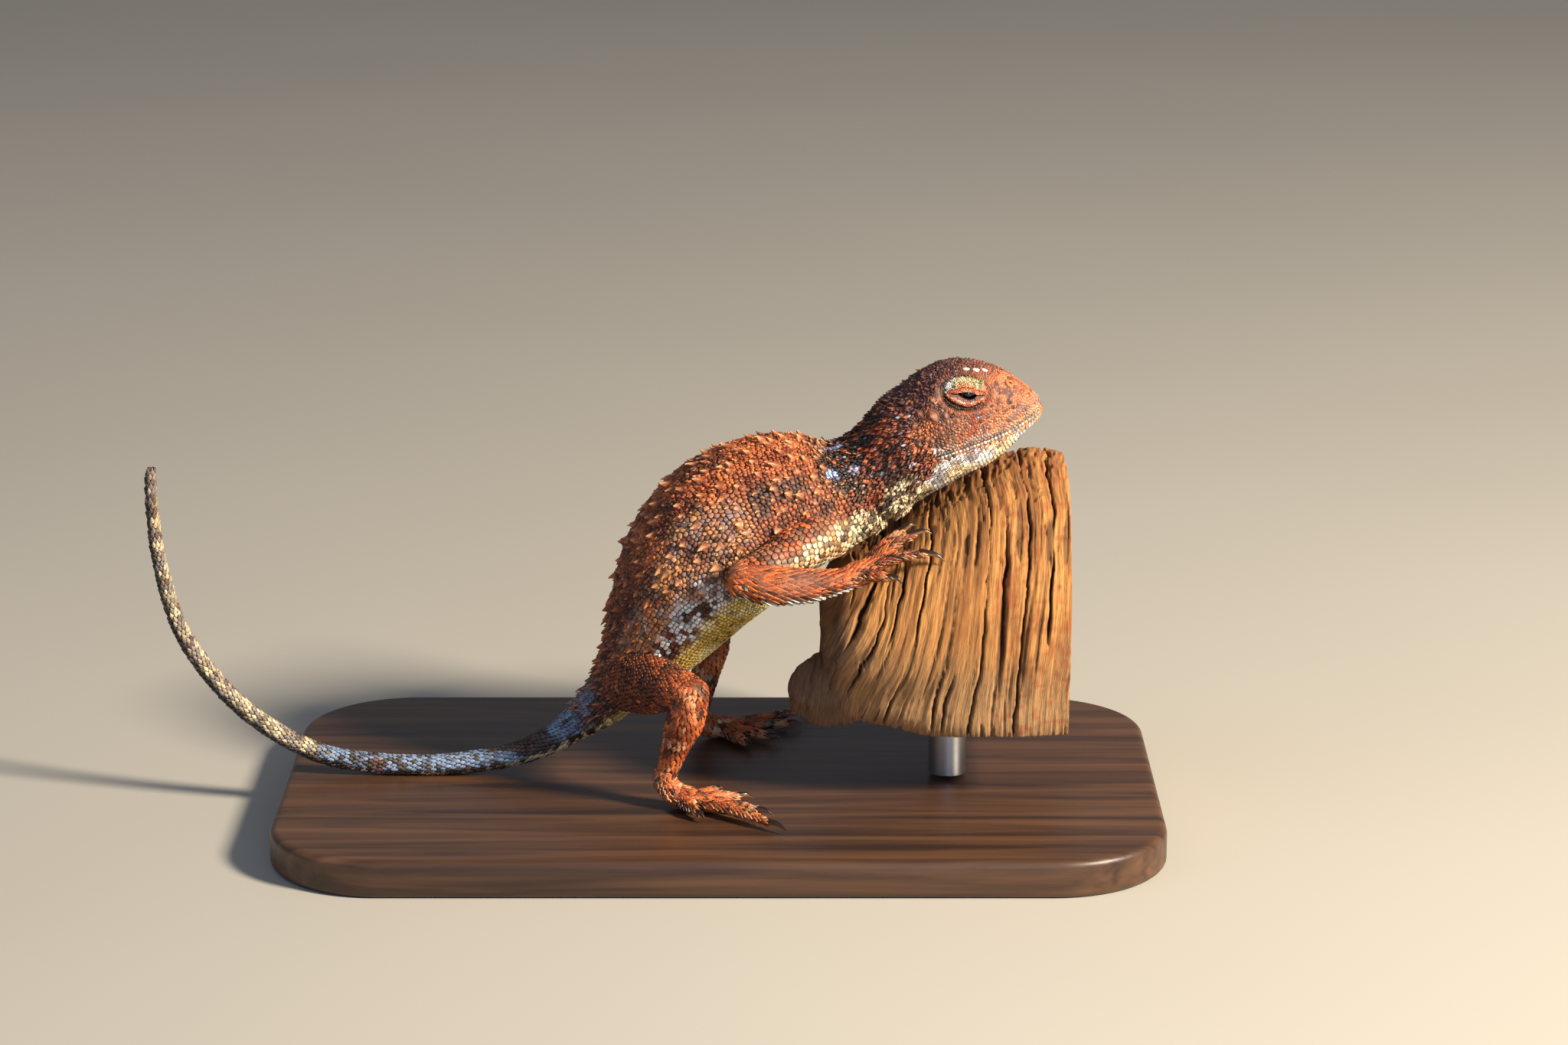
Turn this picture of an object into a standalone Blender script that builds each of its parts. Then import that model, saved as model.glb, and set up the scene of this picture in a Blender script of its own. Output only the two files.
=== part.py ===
"""Goldfields pebble-mimic dragon, life size, rearing with its forefeet on a piece of weathered wood.

Lengths in the tables are millimetres and are scaled to metres by MM. The animal faces +X, its right side
is at -Y, and Z is up from the underside of the display base. Each sub-part is one closed solid, and
touching parts keep a gap of GAP.
"""

import math
import random

import bmesh
import bpy
import numpy as np
from mathutils import Matrix, Vector

MM = 0.001
GAP = 0.3
TINY = 1e-6

# Display base, rod and the floor level on top of the base
BASE_THICK = 4.0
BASE_LENGTH = 92.0
BASE_WIDTH = 56.0
BASE_CORNER = 12.0
BASE_EDGE = 0.8
FLOOR = BASE_THICK + GAP
ROD_RADIUS = 2.0
PERCH_BOTTOM = 12.0
PERCH_X = 24.0

# Trunk and tail, tail tip first: x, z, pitch in degrees, half height, half width
TRUNK_ROWS = (
    (-59.3, 37.6, -91.0, 0.50, 0.50),
    (-59.3, 33.8, -88.0, 0.60, 0.60),
    (-58.8, 28.0, -82.0, 0.68, 0.68),
    (-57.4, 21.8, -73.0, 0.78, 0.78),
    (-55.3, 17.3, -60.0, 0.84, 0.84),
    (-51.7, 12.6, -47.0, 0.88, 0.88),
    (-48.0, 9.4, -36.0, 0.92, 0.94),
    (-44.2, 7.1, -25.0, 0.95, 0.98),
    (-40.4, 5.8, -13.0, 0.98, 1.00),
    (-35.0, 5.1, -3.0, 1.00, 1.05),
    (-29.0, 5.1, 4.0, 1.02, 1.15),
    (-23.2, 5.9, 14.0, 1.10, 1.30),
    (-19.3, 7.2, 26.0, 1.25, 1.55),
    (-16.2, 9.0, 35.0, 1.55, 2.1),
    (-13.5, 11.1, 42.0, 2.1, 3.5),
    (-10.7, 13.9, 50.0, 3.0, 5.1),
    (-8.3, 17.2, 57.0, 4.4, 6.4),
    (-5.9, 21.2, 60.0, 6.1, 8.4),
    (-3.6, 25.2, 56.0, 7.5, 9.8),
    (-1.3, 28.2, 49.0, 8.2, 10.3),
    (1.2, 30.6, 39.0, 8.4, 10.2),
    (4.2, 32.5, 27.0, 8.0, 9.4),
    (7.6, 33.8, 18.0, 7.3, 8.2),
    (11.0, 34.7, 20.0, 6.2, 6.8),
    (14.0, 35.5, 30.0, 5.2, 5.5),
    (16.5, 37.15, 32.0, 4.85, 5.2),
)
# Roundness of the cross sections, and how much the head's roof is narrower than its jaws
TRUNK_POWER = 0.9
HEAD_POWER = 0.78
ROOF_NARROW = 0.12
# Rows of the table at which the tail, torso and neck are parted
TAIL_TIP_ENDS, TAIL_MIDDLE_ENDS, TAIL_BASE_ENDS, TORSO_ENDS = 5.0, 10.5, 14.6, 23.6

# Head, back to front: distance behind the snout tip, top, bottom, half width, in the head's own frame
SNOUT_TIP = (33.5, 44.4)
HEAD_PITCH = 24.5
HEAD_ROWS = (
    (16.4, 6.5, -3.8, 5.7),
    (14.6, 7.2, -3.6, 6.2),
    (12.6, 7.8, -3.4, 6.5),
    (10.6, 8.35, -3.15, 6.5),
    (8.8, 8.6, -3.2, 6.15),
    (7.3, 8.5, -3.1, 5.7),
    (5.9, 8.0, -2.8, 5.2),
    (4.6, 7.25, -2.4, 4.55),
    (3.4, 6.2, -1.95, 3.85),
    (2.3, 4.9, -1.5, 3.15),
    (1.3, 3.4, -1.1, 2.45),
    (0.55, 2.0, -0.8, 1.7),
    (0.12, 0.9, -0.45, 0.9),
)
NECK_ENDS = float(len(TRUNK_ROWS))
LAST_ROW = len(TRUNK_ROWS) + len(HEAD_ROWS) - 1

# Places on the side of the head: distance behind the snout, and height above the tip
EYE = (6.4, 5.0)
EYE_RADIUS = 1.5
EYE_SIDE = 3.35
LID_SIDE = 3.75
LID_HALF = (2.55, 1.8, 1.95)
LID_TILT = -28.0
SLIT_HALF = (1.75, 1.3, 0.38)
NOSTRIL = (2.1, 3.9)
NOSTRIL_RADIUS = 0.3
MOUTH_LINE = ((0.5, -0.35), (1.8, -0.45), (4.2, -0.4), (7.3, 0.1), (10.0, 0.45), (12.0, 0.6))
MOUTH_GROOVE = 0.17
LIP_RADIUS = 0.3
LIP_APART = 0.4
BROW = ((10.2, 6.6), (8.3, 7.2), (6.2, 7.0), (4.4, 6.0), (3.1, 4.9))
BROW_RADIUS = 0.5
FOLD_ROW = 24.5
FOLD_RADIUS = 0.8

# Limbs of the right side, from the root outwards: x, y, z, radius. The left side mirrors y
UPPER_ARM = ((11.2, -4.6, 32.0, 3.0), (8.6, -8.4, 31.4, 2.55), (5.4, -11.2, 30.2, 2.05), (2.4, -12.9, 29.1, 1.7))
FOREARM = ((2.4, -12.9, 29.1, 1.65), (5.2, -13.1, 28.6, 1.85), (9.2, -12.6, 28.4, 1.6), (12.7, -11.8, 28.7, 1.2))
PALM = ((12.7, -11.8, 28.7, 1.15), (14.3, -11.3, 29.2, 1.3), (15.6, -11.0, 29.8, 1.05))
FINGERS = (
    ((14.6, -10.4, 29.6), (16.3, -8.9, 30.8), (17.5, -8.2, 31.7), (18.5, -7.7, 32.2)),
    ((15.3, -10.3, 30.0), (17.2, -9.0, 31.8), (18.9, -8.3, 33.0), (20.3, -7.9, 33.5)),
    ((15.6, -10.8, 30.0), (17.8, -10.3, 31.9), (20.0, -10.1, 33.1), (21.8, -10.1, 33.2)),
    ((15.6, -11.3, 29.8), (18.4, -11.7, 31.1), (21.2, -12.2, 31.6), (23.1, -12.5, 30.9)),
    ((14.8, -11.9, 29.2), (16.4, -13.0, 29.4), (17.7, -13.8, 29.5), (18.7, -14.3, 29.0)),
)
FINGER_RADII = (0.66, 0.62, 0.42)
THIGH = ((-9.0, -2.8, 15.7, 3.7), (-7.5, -7.2, 16.3, 3.2), (-5.2, -10.8, 17.0, 2.5), (-2.9, -13.5, 17.0, 1.95))
SHANK = ((-2.9, -13.5, 17.0, 1.85), (-3.4, -13.0, 14.2, 1.95), (-4.4, -12.0, 11.2, 1.5), (-5.3, -11.2, 8.3, 1.1))
SOLE = ((-5.7, -10.9, 7.0, 1.15), (-4.6, -11.2, 5.6, 1.3), (-3.0, -11.8, 5.2, 1.25), (-1.6, -12.4, 4.95, 1.1))
TOES = (
    ((-3.0, -11.0, 5.0), (-1.4, -9.0, 4.8), (-0.4, -7.6, 4.75), (0.3, -6.3, 4.5)),
    ((-2.2, -11.4, 5.0), (0.0, -10.4, 4.9), (2.0, -9.8, 4.75), (3.5, -9.4, 4.5)),
    ((-1.9, -12.2, 5.0), (1.0, -13.0, 4.95), (3.9, -14.2, 4.75), (5.6, -14.9, 4.5)),
    ((-2.0, -12.7, 5.0), (1.6, -15.2, 5.0), (5.2, -18.4, 4.8), (7.0, -20.0, 4.5)),
    ((-3.6, -12.2, 5.0), (-3.0, -13.9, 4.9), (-2.2, -15.2, 4.75), (-1.4, -16.3, 4.5)),
)
TOE_RADII = (0.72, 0.66, 0.46)
# The left foot stands this much farther forward and outward than a mirrored right one
LEFT_FOOT_SHIFT = (3.0, 1.0)

# Piece of wood under the throat and forefeet: x, centre z, half height, half width
PERCH_ROWS = (
    (10.3, 19.5, 3.0, 5.0),
    (10.9, 19.7, 6.0, 9.0),
    (12.4, 20.0, 7.9, 12.0),
    (15.0, 20.3, 8.7, 13.8),
    (18.0, 20.8, 9.9, 14.6),
    (22.0, 21.6, 12.4, 14.9),
    (28.0, 22.6, 14.7, 14.5),
    (32.5, 23.0, 15.7, 14.0),
    (36.0, 23.0, 15.3, 13.6),
)
PERCH_LOBES = ((3, 0.035, 0.4), (5, 0.03, 1.9), (8, 0.022, 0.7))
PERCH_KNOB = ((11.4, -6.6, 15.4), (4.4, 3.8, 3.9))

# Spines: rows over the back, with radius, height and root depth
SPINE_ROWS = 12
SPINE_STEP = 17.0
SPINE_RADIUS = 0.72
SPINE_HEIGHT = 1.25
SPINE_ROOT = 0.55
SPINE_SEED = 7

# Share of the thigh's length and angle from straight up, for the right side
THIGH_SPINES = ((0.55, -25), (0.7, 5), (0.72, -45), (0.88, -20))

SKIN = (0.42, 0.17, 0.075, 1.0)
TAIL_SKIN = (0.33, 0.24, 0.18, 1.0)
EYE_BLACK = (0.012, 0.012, 0.014, 1.0)
WOOD = (0.56, 0.29, 0.12, 1.0)
STAND_WOOD = (0.055, 0.03, 0.018, 1.0)
STEEL = (0.5, 0.5, 0.5, 1.0)


def clear_scene():
    """Removes whatever the file held."""
    for found in list(bpy.data.objects):
        bpy.data.objects.remove(found, do_unlink=True)


def material(name, colour, roughness, metallic=0.0):
    """A Principled material of one colour."""
    made = bpy.data.materials.new(name)
    made.use_nodes = True
    shader = made.node_tree.nodes["Principled BSDF"]
    shader.inputs["Base Color"].default_value = colour
    shader.inputs["Roughness"].default_value = roughness
    shader.inputs["Metallic"].default_value = metallic
    return made


def smooth_rows(rows, at):
    """Catmull-Rom values of a table of rows at the real row numbers given."""
    rows = np.asarray(rows, float)
    padded = np.vstack([2 * rows[0] - rows[1], rows, 2 * rows[-1] - rows[-2]])
    at = np.clip(np.asarray(at, float), 0, len(rows) - 1)
    span = np.minimum(at.astype(int), len(rows) - 2)
    t = (at - span)[:, None]
    before, start, end, after = (padded[span + k] for k in range(4))
    return 0.5 * (
        2 * start
        + (end - before) * t
        + (2 * before - 5 * start + 4 * end - after) * t**2
        + (3 * start - before - 3 * end + after) * t**3
    )


def head_axes():
    """Unit vectors of the head: forward along the mouth, and up."""
    pitch = math.radians(HEAD_PITCH)
    return np.array([math.cos(pitch), 0, math.sin(pitch)]), np.array([-math.sin(pitch), 0, math.cos(pitch)])


def head_point(behind, height, side=0.0):
    """A place on the head, given in the head's own frame."""
    forward, up = head_axes()
    tip = np.array([SNOUT_TIP[0], 0, SNOUT_TIP[1]])
    return tip - behind * forward + height * up + np.array([0, side, 0])


def body_rows():
    """The trunk's table followed by the head's, as x, z, pitch, half height, half width."""
    rows = list(TRUNK_ROWS)
    for behind, top, bottom, width in HEAD_ROWS:
        x, _, z = head_point(behind, (top + bottom) / 2)
        rows.append((x, z, HEAD_PITCH, (top - bottom) / 2, width))
    return rows


def body_rings(at, sides, grow=0.0):
    """Cross sections of the body at the row numbers given: rounded ovals, narrower above on the head."""
    x, z, pitch, high, wide = smooth_rows(body_rows(), at).T
    pitch = np.radians(pitch)
    turn = np.linspace(0, 2 * np.pi, sides, endpoint=False)
    headness = np.clip((np.asarray(at) - len(TRUNK_ROWS) + 1) / 3, 0, 1)[:, None]
    power = TRUNK_POWER + (HEAD_POWER - TRUNK_POWER) * headness
    rise = np.sign(np.cos(turn)) * np.abs(np.cos(turn)) ** power
    side = np.sign(np.sin(turn)) * np.abs(np.sin(turn)) ** power
    narrow = 1 - headness * ROOF_NARROW * np.clip(rise, 0, 1) ** 1.5
    up = (high[:, None] + grow) * rise
    out = (wide[:, None] + grow) * side * narrow
    rings = np.empty((len(x), sides, 3))
    rings[..., 0] = x[:, None] - np.sin(pitch)[:, None] * up
    rings[..., 1] = -out
    rings[..., 2] = z[:, None] + np.cos(pitch)[:, None] * up
    return rings


def new_object(name, mesh, made_of, collection):
    """Links a mesh as a named object with one material."""
    made = bpy.data.objects.new(name, mesh)
    if made_of:
        mesh.materials.append(made_of)
    collection.objects.link(made)
    return made


def loft(name, rings, made_of, collection):
    """A closed skin over rings of points, with a flat cap at each end."""
    count, sides = rings.shape[:2]
    shape = bmesh.new()
    grid = [[shape.verts.new(Vector(p) * MM) for p in ring] for ring in rings]
    for lower, upper in zip(grid, grid[1:]):
        for k in range(sides):
            after = (k + 1) % sides
            shape.faces.new((lower[k], lower[after], upper[after], upper[k]))
    shape.faces.new(grid[0][::-1])
    shape.faces.new(grid[-1])
    bmesh.ops.recalc_face_normals(shape, faces=shape.faces)
    bmesh.ops.triangulate(shape, faces=[f for f in shape.faces if len(f.verts) > 4])
    mesh = bpy.data.meshes.new(name)
    shape.to_mesh(mesh)
    shape.free()
    return new_object(name, mesh, made_of, collection)


def tube_rings(path, radii, sides, rounded=(3, 3)):
    """Round cross sections along a path, closed by half balls of the end radii with that many rings each."""
    path = np.asarray(path, float)
    radii = np.asarray(radii, float)
    ahead = np.gradient(path, axis=0)
    ahead /= np.linalg.norm(ahead, axis=1)[:, None]
    centres, sizes, ways = list(path), list(radii), list(ahead)
    for k in range(1, rounded[0] + 1):
        lean = math.radians(84) * k / rounded[0]
        centres.insert(0, path[0] - ahead[0] * radii[0] * math.sin(lean))
        sizes.insert(0, radii[0] * math.cos(lean))
        ways.insert(0, ahead[0])
    for k in range(1, rounded[1] + 1):
        lean = math.radians(84) * k / rounded[1]
        centres.append(path[-1] + ahead[-1] * radii[-1] * math.sin(lean))
        sizes.append(radii[-1] * math.cos(lean))
        ways.append(ahead[-1])
    across = np.cross(ways[0], (0, 0, 1.0)) if abs(ways[0][2]) < 0.9 else np.cross(ways[0], (0, 1.0, 0))
    rings = []
    turn = np.linspace(0, 2 * np.pi, sides, endpoint=False)
    for centre, size, way in zip(centres, sizes, ways):
        across = across - way * np.dot(across, way)
        across /= np.linalg.norm(across)
        third = np.cross(way, across)
        rings.append(centre + size * (np.cos(turn)[:, None] * across + np.sin(turn)[:, None] * third))
    return np.array(rings)


def join(base, pieces, operation="UNION", solver="MANIFOLD"):
    """One Boolean of a base object with the closed pieces given, applied, and the pieces removed."""
    if not pieces:
        return base
    operands = bpy.data.collections.new("operands")
    for piece in pieces:
        operands.objects.link(piece)
    cut = base.modifiers.new("join", "BOOLEAN")
    cut.operation = operation
    cut.operand_type = "COLLECTION"
    cut.solver = solver
    cut.collection = operands
    bpy.context.view_layer.update()
    result = bpy.data.meshes.new_from_object(base.evaluated_get(bpy.context.evaluated_depsgraph_get()))
    base.modifiers.clear()
    base.data = result
    for piece in pieces:
        bpy.data.objects.remove(piece, do_unlink=True)
    bpy.data.collections.remove(operands)
    return base


def keep_largest(thing):
    """Leaves only the largest closed surface of an object, without slivers, and rounds its shading."""
    shape = bmesh.new()
    shape.from_mesh(thing.data)
    bmesh.ops.remove_doubles(shape, verts=shape.verts, dist=TINY)
    bmesh.ops.dissolve_degenerate(shape, edges=shape.edges, dist=TINY)
    left, groups = set(shape.verts), []
    while left:
        stack, group = [left.pop()], []
        while stack:
            vert = stack.pop()
            group.append(vert)
            for edge in vert.link_edges:
                other = edge.other_vert(vert)
                if other in left:
                    left.remove(other)
                    stack.append(other)
        groups.append(group)
    groups.sort(key=len)
    for group in groups[:-1]:
        bmesh.ops.delete(shape, geom=group, context="VERTS")
    shape.to_mesh(thing.data)
    shape.free()
    thing.data.shade_smooth()
    thing.data.set_sharp_from_angle(angle=math.radians(40))
    return thing


def cut_plane(thing, point, way):
    """Cuts away all that lies beyond a plane, and closes the cut."""
    shape = bmesh.new()
    shape.from_mesh(thing.data)
    geometry = shape.verts[:] + shape.edges[:] + shape.faces[:]
    cut = bmesh.ops.bisect_plane(
        shape, geom=geometry, plane_co=Vector(point) * MM, plane_no=Vector(way), clear_outer=True, dist=TINY
    )
    edges = [e for e in cut["geom_cut"] if isinstance(e, bmesh.types.BMEdge)]
    bmesh.ops.contextual_create(shape, geom=edges)
    bmesh.ops.triangulate(shape, faces=[f for f in shape.faces if len(f.verts) > 4])
    bmesh.ops.recalc_face_normals(shape, faces=shape.faces)
    shape.to_mesh(thing.data)
    shape.free()
    return thing


def box(name, low, high, collection):
    """A plain box between two corners, for cutting."""
    shape = bmesh.new()
    bmesh.ops.create_cube(shape, size=1.0)
    low, high = np.asarray(low, float) * MM, np.asarray(high, float) * MM
    bmesh.ops.scale(shape, vec=Vector(high - low), verts=shape.verts)
    bmesh.ops.translate(shape, vec=Vector((high + low) / 2), verts=shape.verts)
    mesh = bpy.data.meshes.new(name)
    shape.to_mesh(mesh)
    shape.free()
    return new_object(name, mesh, None, collection)


def ball(name, centre, halves, collection, frame=None, fine=(16, 10)):
    """An ellipsoid with the half sizes given along the columns of its frame."""
    shape = bmesh.new()
    bmesh.ops.create_uvsphere(shape, u_segments=fine[0], v_segments=fine[1], radius=1.0)
    turn = Matrix.Identity(3) if frame is None else Matrix(frame)
    bmesh.ops.scale(shape, vec=Vector(halves) * MM, verts=shape.verts)
    bmesh.ops.rotate(shape, cent=(0, 0, 0), matrix=turn, verts=shape.verts)
    bmesh.ops.translate(shape, vec=Vector(centre) * MM, verts=shape.verts)
    mesh = bpy.data.meshes.new(name)
    shape.to_mesh(mesh)
    shape.free()
    return new_object(name, mesh, None, collection)


def spine(place, normal, back, size, collection):
    """One thorn: a six sided keeled pyramid, rooted below the skin, its point leaning back."""
    normal, back = Vector(normal), Vector(back)
    side = normal.cross(back)
    place = Vector(place)
    wide, high = SPINE_RADIUS * size, SPINE_HEIGHT * size
    shape = bmesh.new()
    ring = []
    for k in range(6):
        turn = k * math.pi / 3
        spot = place + back * math.cos(turn) * wide * 1.15 + side * math.sin(turn) * wide * 0.85
        ring.append(shape.verts.new((spot - normal * SPINE_ROOT) * MM))
    tip = shape.verts.new((place + normal * high * 0.85 + back * high * 0.65) * MM)
    for k in range(6):
        shape.faces.new((ring[k], ring[(k + 1) % 6], tip))
    shape.faces.new(ring[::-1])
    bmesh.ops.recalc_face_normals(shape, faces=shape.faces)
    mesh = bpy.data.meshes.new("spine")
    shape.to_mesh(mesh)
    shape.free()
    return new_object("spine", mesh, None, collection)


def surface_spot(at, turn_degrees):
    """Place, outward normal and backward way on the body at a row number and an angle from the back's ridge."""
    step, sides = 0.02, 360
    rings = body_rings(np.array([at - step, at, at + step]), sides)
    k = int(round(turn_degrees)) % sides
    place = rings[1, k]
    back = rings[0, k] - rings[2, k]
    round_way = rings[1, (k + 3) % sides] - rings[1, (k - 3) % sides]
    normal = np.cross(back, round_way)
    if np.dot(normal, place - rings[1].mean(axis=0)) < 0:
        normal = -normal
    return place, normal / np.linalg.norm(normal), back / np.linalg.norm(back)


def near_limb(place):
    """Whether a place on the trunk is within reach of a limb's root."""
    side = np.array([1, -1 if place[1] > 0 else 1, 1])
    for rows in (UPPER_ARM, THIGH):
        for x, y, z, radius in rows[:3]:
            if np.linalg.norm(np.asarray(place) * side - (x, y, z)) < radius + 1.5:
                return True
    return False


def spines(first, last, rows, reach, size, collection):
    """Thorns over a length of the body, in staggered rows from the ridge out to the angle of reach."""
    draw = random.Random(SPINE_SEED + int(first * 10))
    thorns = []
    for row in range(rows):
        at = first + (last - first) * row / max(rows - 1, 1)
        columns = int(2 * reach / SPINE_STEP) + 1
        for column in range(columns):
            angle = (column - (columns - 1) / 2 + 0.5 * (row % 2)) * SPINE_STEP + draw.uniform(-4, 4)
            where = at + draw.uniform(-0.1, 0.1)
            scale = size * draw.uniform(0.75, 1.15)
            place, normal, back = surface_spot(where, angle)
            if abs(angle) <= reach and not near_limb(place):
                thorns.append(spine(place, normal, back, scale, collection))
    return thorns


def body_length(name, start, end, rings, sides, made_of, collection):
    """A length of the body between two row numbers, its flat ends drawn back by half a gap."""
    at = np.linspace(start, end, rings)
    grid = body_rings(at, sides)
    pitch = np.radians(smooth_rows(body_rows(), [start, end])[:, 2])
    if start > 0:
        ahead = np.array([math.cos(pitch[0]), 0, math.sin(pitch[0])])
        grid[0] += ahead * GAP / 2
    if end < LAST_ROW:
        ahead = np.array([math.cos(pitch[1]), 0, math.sin(pitch[1])])
        grid[-1] -= ahead * GAP / 2
    return loft(name, grid, made_of, collection)


def body_cutter(start, end, collection):
    """The body between two row numbers, larger by the gap, for clearing what touches it."""
    at = np.arange(start, end + 0.01, 0.5)
    return loft("body_cutter", body_rings(at, 28, GAP), None, collection)


def mirrored(rows, left, shift=(0, 0)):
    """The limb's rows for the right side as they are, or for the left mirrored and shifted."""
    rows = np.array(rows, float)
    if left:
        rows[:, 1] = -rows[:, 1] + shift[1]
        rows[:, 0] += shift[0]
    return rows


def bone(name, rows, sides, rings, made_of, collection, grow=0.0, rounded=(3, 3)):
    """A rounded tapering tube through rows of x, y, z and radius."""
    path = smooth_rows(rows, np.linspace(0, len(rows) - 1, rings))
    return loft(name, tube_rings(path[:, :3], path[:, 3] + grow, sides, rounded), made_of, collection)


def digit(places, radii, left, shift, made_of, collection, grow=0.0):
    """One finger or toe with its claw, from knuckle, middle, claw base and claw tip."""
    places = mirrored(places, left, shift)
    rows = [tuple(place) + (radius,) for place, radius in zip(places, radii)]
    finger = bone("digit", rows, 6, 4, made_of, collection, grow, (1, 2))
    base, tip = places[2], places[3]
    start = base - (tip - base) * 0.25
    middle = (base + tip) / 2 + np.array([0, 0, 0.28])
    claw_rows = [tuple(start) + (0.4,), tuple(middle) + (0.27,), tuple(tip) + (0.07,)]
    claw = bone("claw", claw_rows, 4, 4, made_of, collection, grow, (1, 1))
    return [finger, claw]


def paw(name, sole, digits, radii, left, shift, made_of, collection, grow=0.0):
    """A hand or foot: the sole with its five digits, as one solid."""
    main = bone(name, mirrored(sole, left, shift), 10, 5, made_of, collection, grow, (2, 2))
    pieces = []
    for places in digits:
        pieces += digit(places, radii, left, shift, made_of, collection, grow)
    return keep_largest(join(main, pieces))


def limb(side, made_of, collection):
    """The six nodes of one side's limbs, each cleared of the one it grows from."""
    left = side == "left"
    foot_shift = LEFT_FOOT_SHIFT if left else (0, 0)
    thigh_rows = mirrored(THIGH, left)
    thigh_rows[:, :2] += np.linspace(0, 0.6, len(thigh_rows))[:, None] * (foot_shift[0], foot_shift[1])
    shank_rows = mirrored(SHANK, left)
    shank_rows[:, :2] += np.linspace(0.6, 1, len(shank_rows))[:, None] * (foot_shift[0], foot_shift[1])
    arm_rows, forearm_rows = mirrored(UPPER_ARM, left), mirrored(FOREARM, left)

    upper = bone(side + "_upper_arm", arm_rows, 12, 7, made_of, collection)
    join(upper, [body_cutter(19, 25.5, collection)], "DIFFERENCE")
    forearm = bone(side + "_forearm", forearm_rows, 10, 7, made_of, collection)
    join(forearm, [bone("cutter", arm_rows, 12, 7, None, collection, GAP)], "DIFFERENCE")
    hand = paw(side + "_hand", PALM, FINGERS, FINGER_RADII, left, (0, 0), made_of, collection)
    join(hand, [bone("cutter", forearm_rows, 10, 7, None, collection, GAP)], "DIFFERENCE")

    thigh = bone(side + "_thigh", thigh_rows, 12, 8, made_of, collection)
    join(thigh, limb_spines(thigh_rows, THIGH_SPINES, 0.62, collection))
    join(thigh, [body_cutter(12, 21, collection)], "DIFFERENCE")
    shank = bone(side + "_shank", shank_rows, 10, 7, made_of, collection)
    join(shank, [bone("cutter", thigh_rows, 12, 8, None, collection, GAP)], "DIFFERENCE")
    foot = paw(side + "_foot", SOLE, TOES, TOE_RADII, left, foot_shift, made_of, collection)
    join(foot, [bone("cutter", shank_rows, 10, 7, None, collection, GAP)], "DIFFERENCE")
    cut_plane(foot, (0, 0, FLOOR), (0, 0, -1))
    return [keep_largest(node) for node in (upper, forearm, hand, thigh, shank, foot)]


def head_side(behind, height):
    """How far the head reaches sideways at a place on its profile."""
    table = np.array(HEAD_ROWS)[::-1]
    top, bottom, wide = (np.interp(behind, table[:, 0], table[:, k]) for k in (1, 2, 3))
    rise = float(np.clip((height - (top + bottom) / 2) / ((top - bottom) / 2), -0.97, 0.97))
    turn = abs(rise) ** (1 / HEAD_POWER)
    out = wide * math.sqrt(1 - turn * turn) ** HEAD_POWER
    return out * (1 - ROOF_NARROW * max(rise, 0) ** 1.5)


def along_head(places, sunk, radius, left, collection):
    """A tube that follows a line of places on one side of the head, sunk below its surface."""
    sign = 1 if left else -1
    rows = []
    for behind, height in places:
        side = max(head_side(behind, height) - sunk, 0.0)
        rows.append(tuple(head_point(behind, height, sign * side)) + (radius,))
    return bone("line", rows, 6, 9, None, collection, 0.0, (1, 1))


def round_mouth(apart, sunk, radius, collection):
    """A tube that follows the mouth from one corner round the snout to the other, above or below the line."""
    sides = []
    for sign in (-1, 1):
        side = []
        for behind, height in MOUTH_LINE:
            out = head_side(behind, height + apart) - sunk
            side.append(tuple(head_point(behind, height + apart, sign * out)) + (radius,))
        sides.append(side)
    front = [tuple(head_point(sunk, MOUTH_LINE[0][1] + apart)) + (radius,)]
    return bone("line", sides[0][::-1] + front + sides[1], 5, 19, None, collection, 0.0, (1, 1))


def lid_frame():
    """Axes of the eye opening: along it, outwards and up, tilted with the slit."""
    forward, up = head_axes()
    tilt = math.radians(LID_TILT)
    along = math.cos(tilt) * forward + math.sin(tilt) * up
    out = np.array([0, 1.0, 0])
    return np.column_stack([along, out, np.cross(along, out)])


def shape_head(head, collection):
    """Adds brows, lids, lips and tubercles to the head, then cuts sockets, lid slits, mouth and nostrils."""
    added, cut = spines(NECK_ENDS + 0.35, NECK_ENDS + 2.6, 3, 75, 0.62, collection), []
    for left in (False, True):
        sign = 1 if left else -1
        lid = head_point(EYE[0], EYE[1], sign * LID_SIDE)
        added.append(ball("lid", lid, LID_HALF, collection, lid_frame(), (14, 8)))
        added.append(along_head(BROW, 0.25, BROW_RADIUS, left, collection))
        slit = head_point(EYE[0], EYE[1] - 0.25, sign * (LID_SIDE + LID_HALF[1]))
        cut.append(ball("slit", slit, SLIT_HALF, collection, lid_frame(), (12, 6)))
        cut.append(ball("socket", eye_place(left), (EYE_RADIUS + GAP,) * 3, collection, None, (12, 8)))
        nostril = head_point(NOSTRIL[0], NOSTRIL[1], sign * (head_side(*NOSTRIL) + 0.05))
        cut.append(ball("nostril", nostril, (NOSTRIL_RADIUS,) * 3, collection, None, (6, 4)))
    for apart in (-LIP_APART, LIP_APART):
        added.append(round_mouth(apart, 0.16, LIP_RADIUS, collection))
    cut.append(round_mouth(0.0, 0.0, MOUTH_GROOVE, collection))
    join(head, added)
    return keep_largest(join(head, cut, "DIFFERENCE"))


def throat_fold(collection):
    """The fold of skin across the throat, a bent roll sunk in the neck."""
    rows = []
    for angle in range(80, 281, 20):
        place, normal, _ = surface_spot(FOLD_ROW + 0.15 * math.cos(math.radians(angle)), angle)
        rows.append(tuple(place - normal * 0.5) + (FOLD_RADIUS,))
    return bone("fold", rows, 7, 11, None, collection, 0.0, (1, 1))


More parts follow.
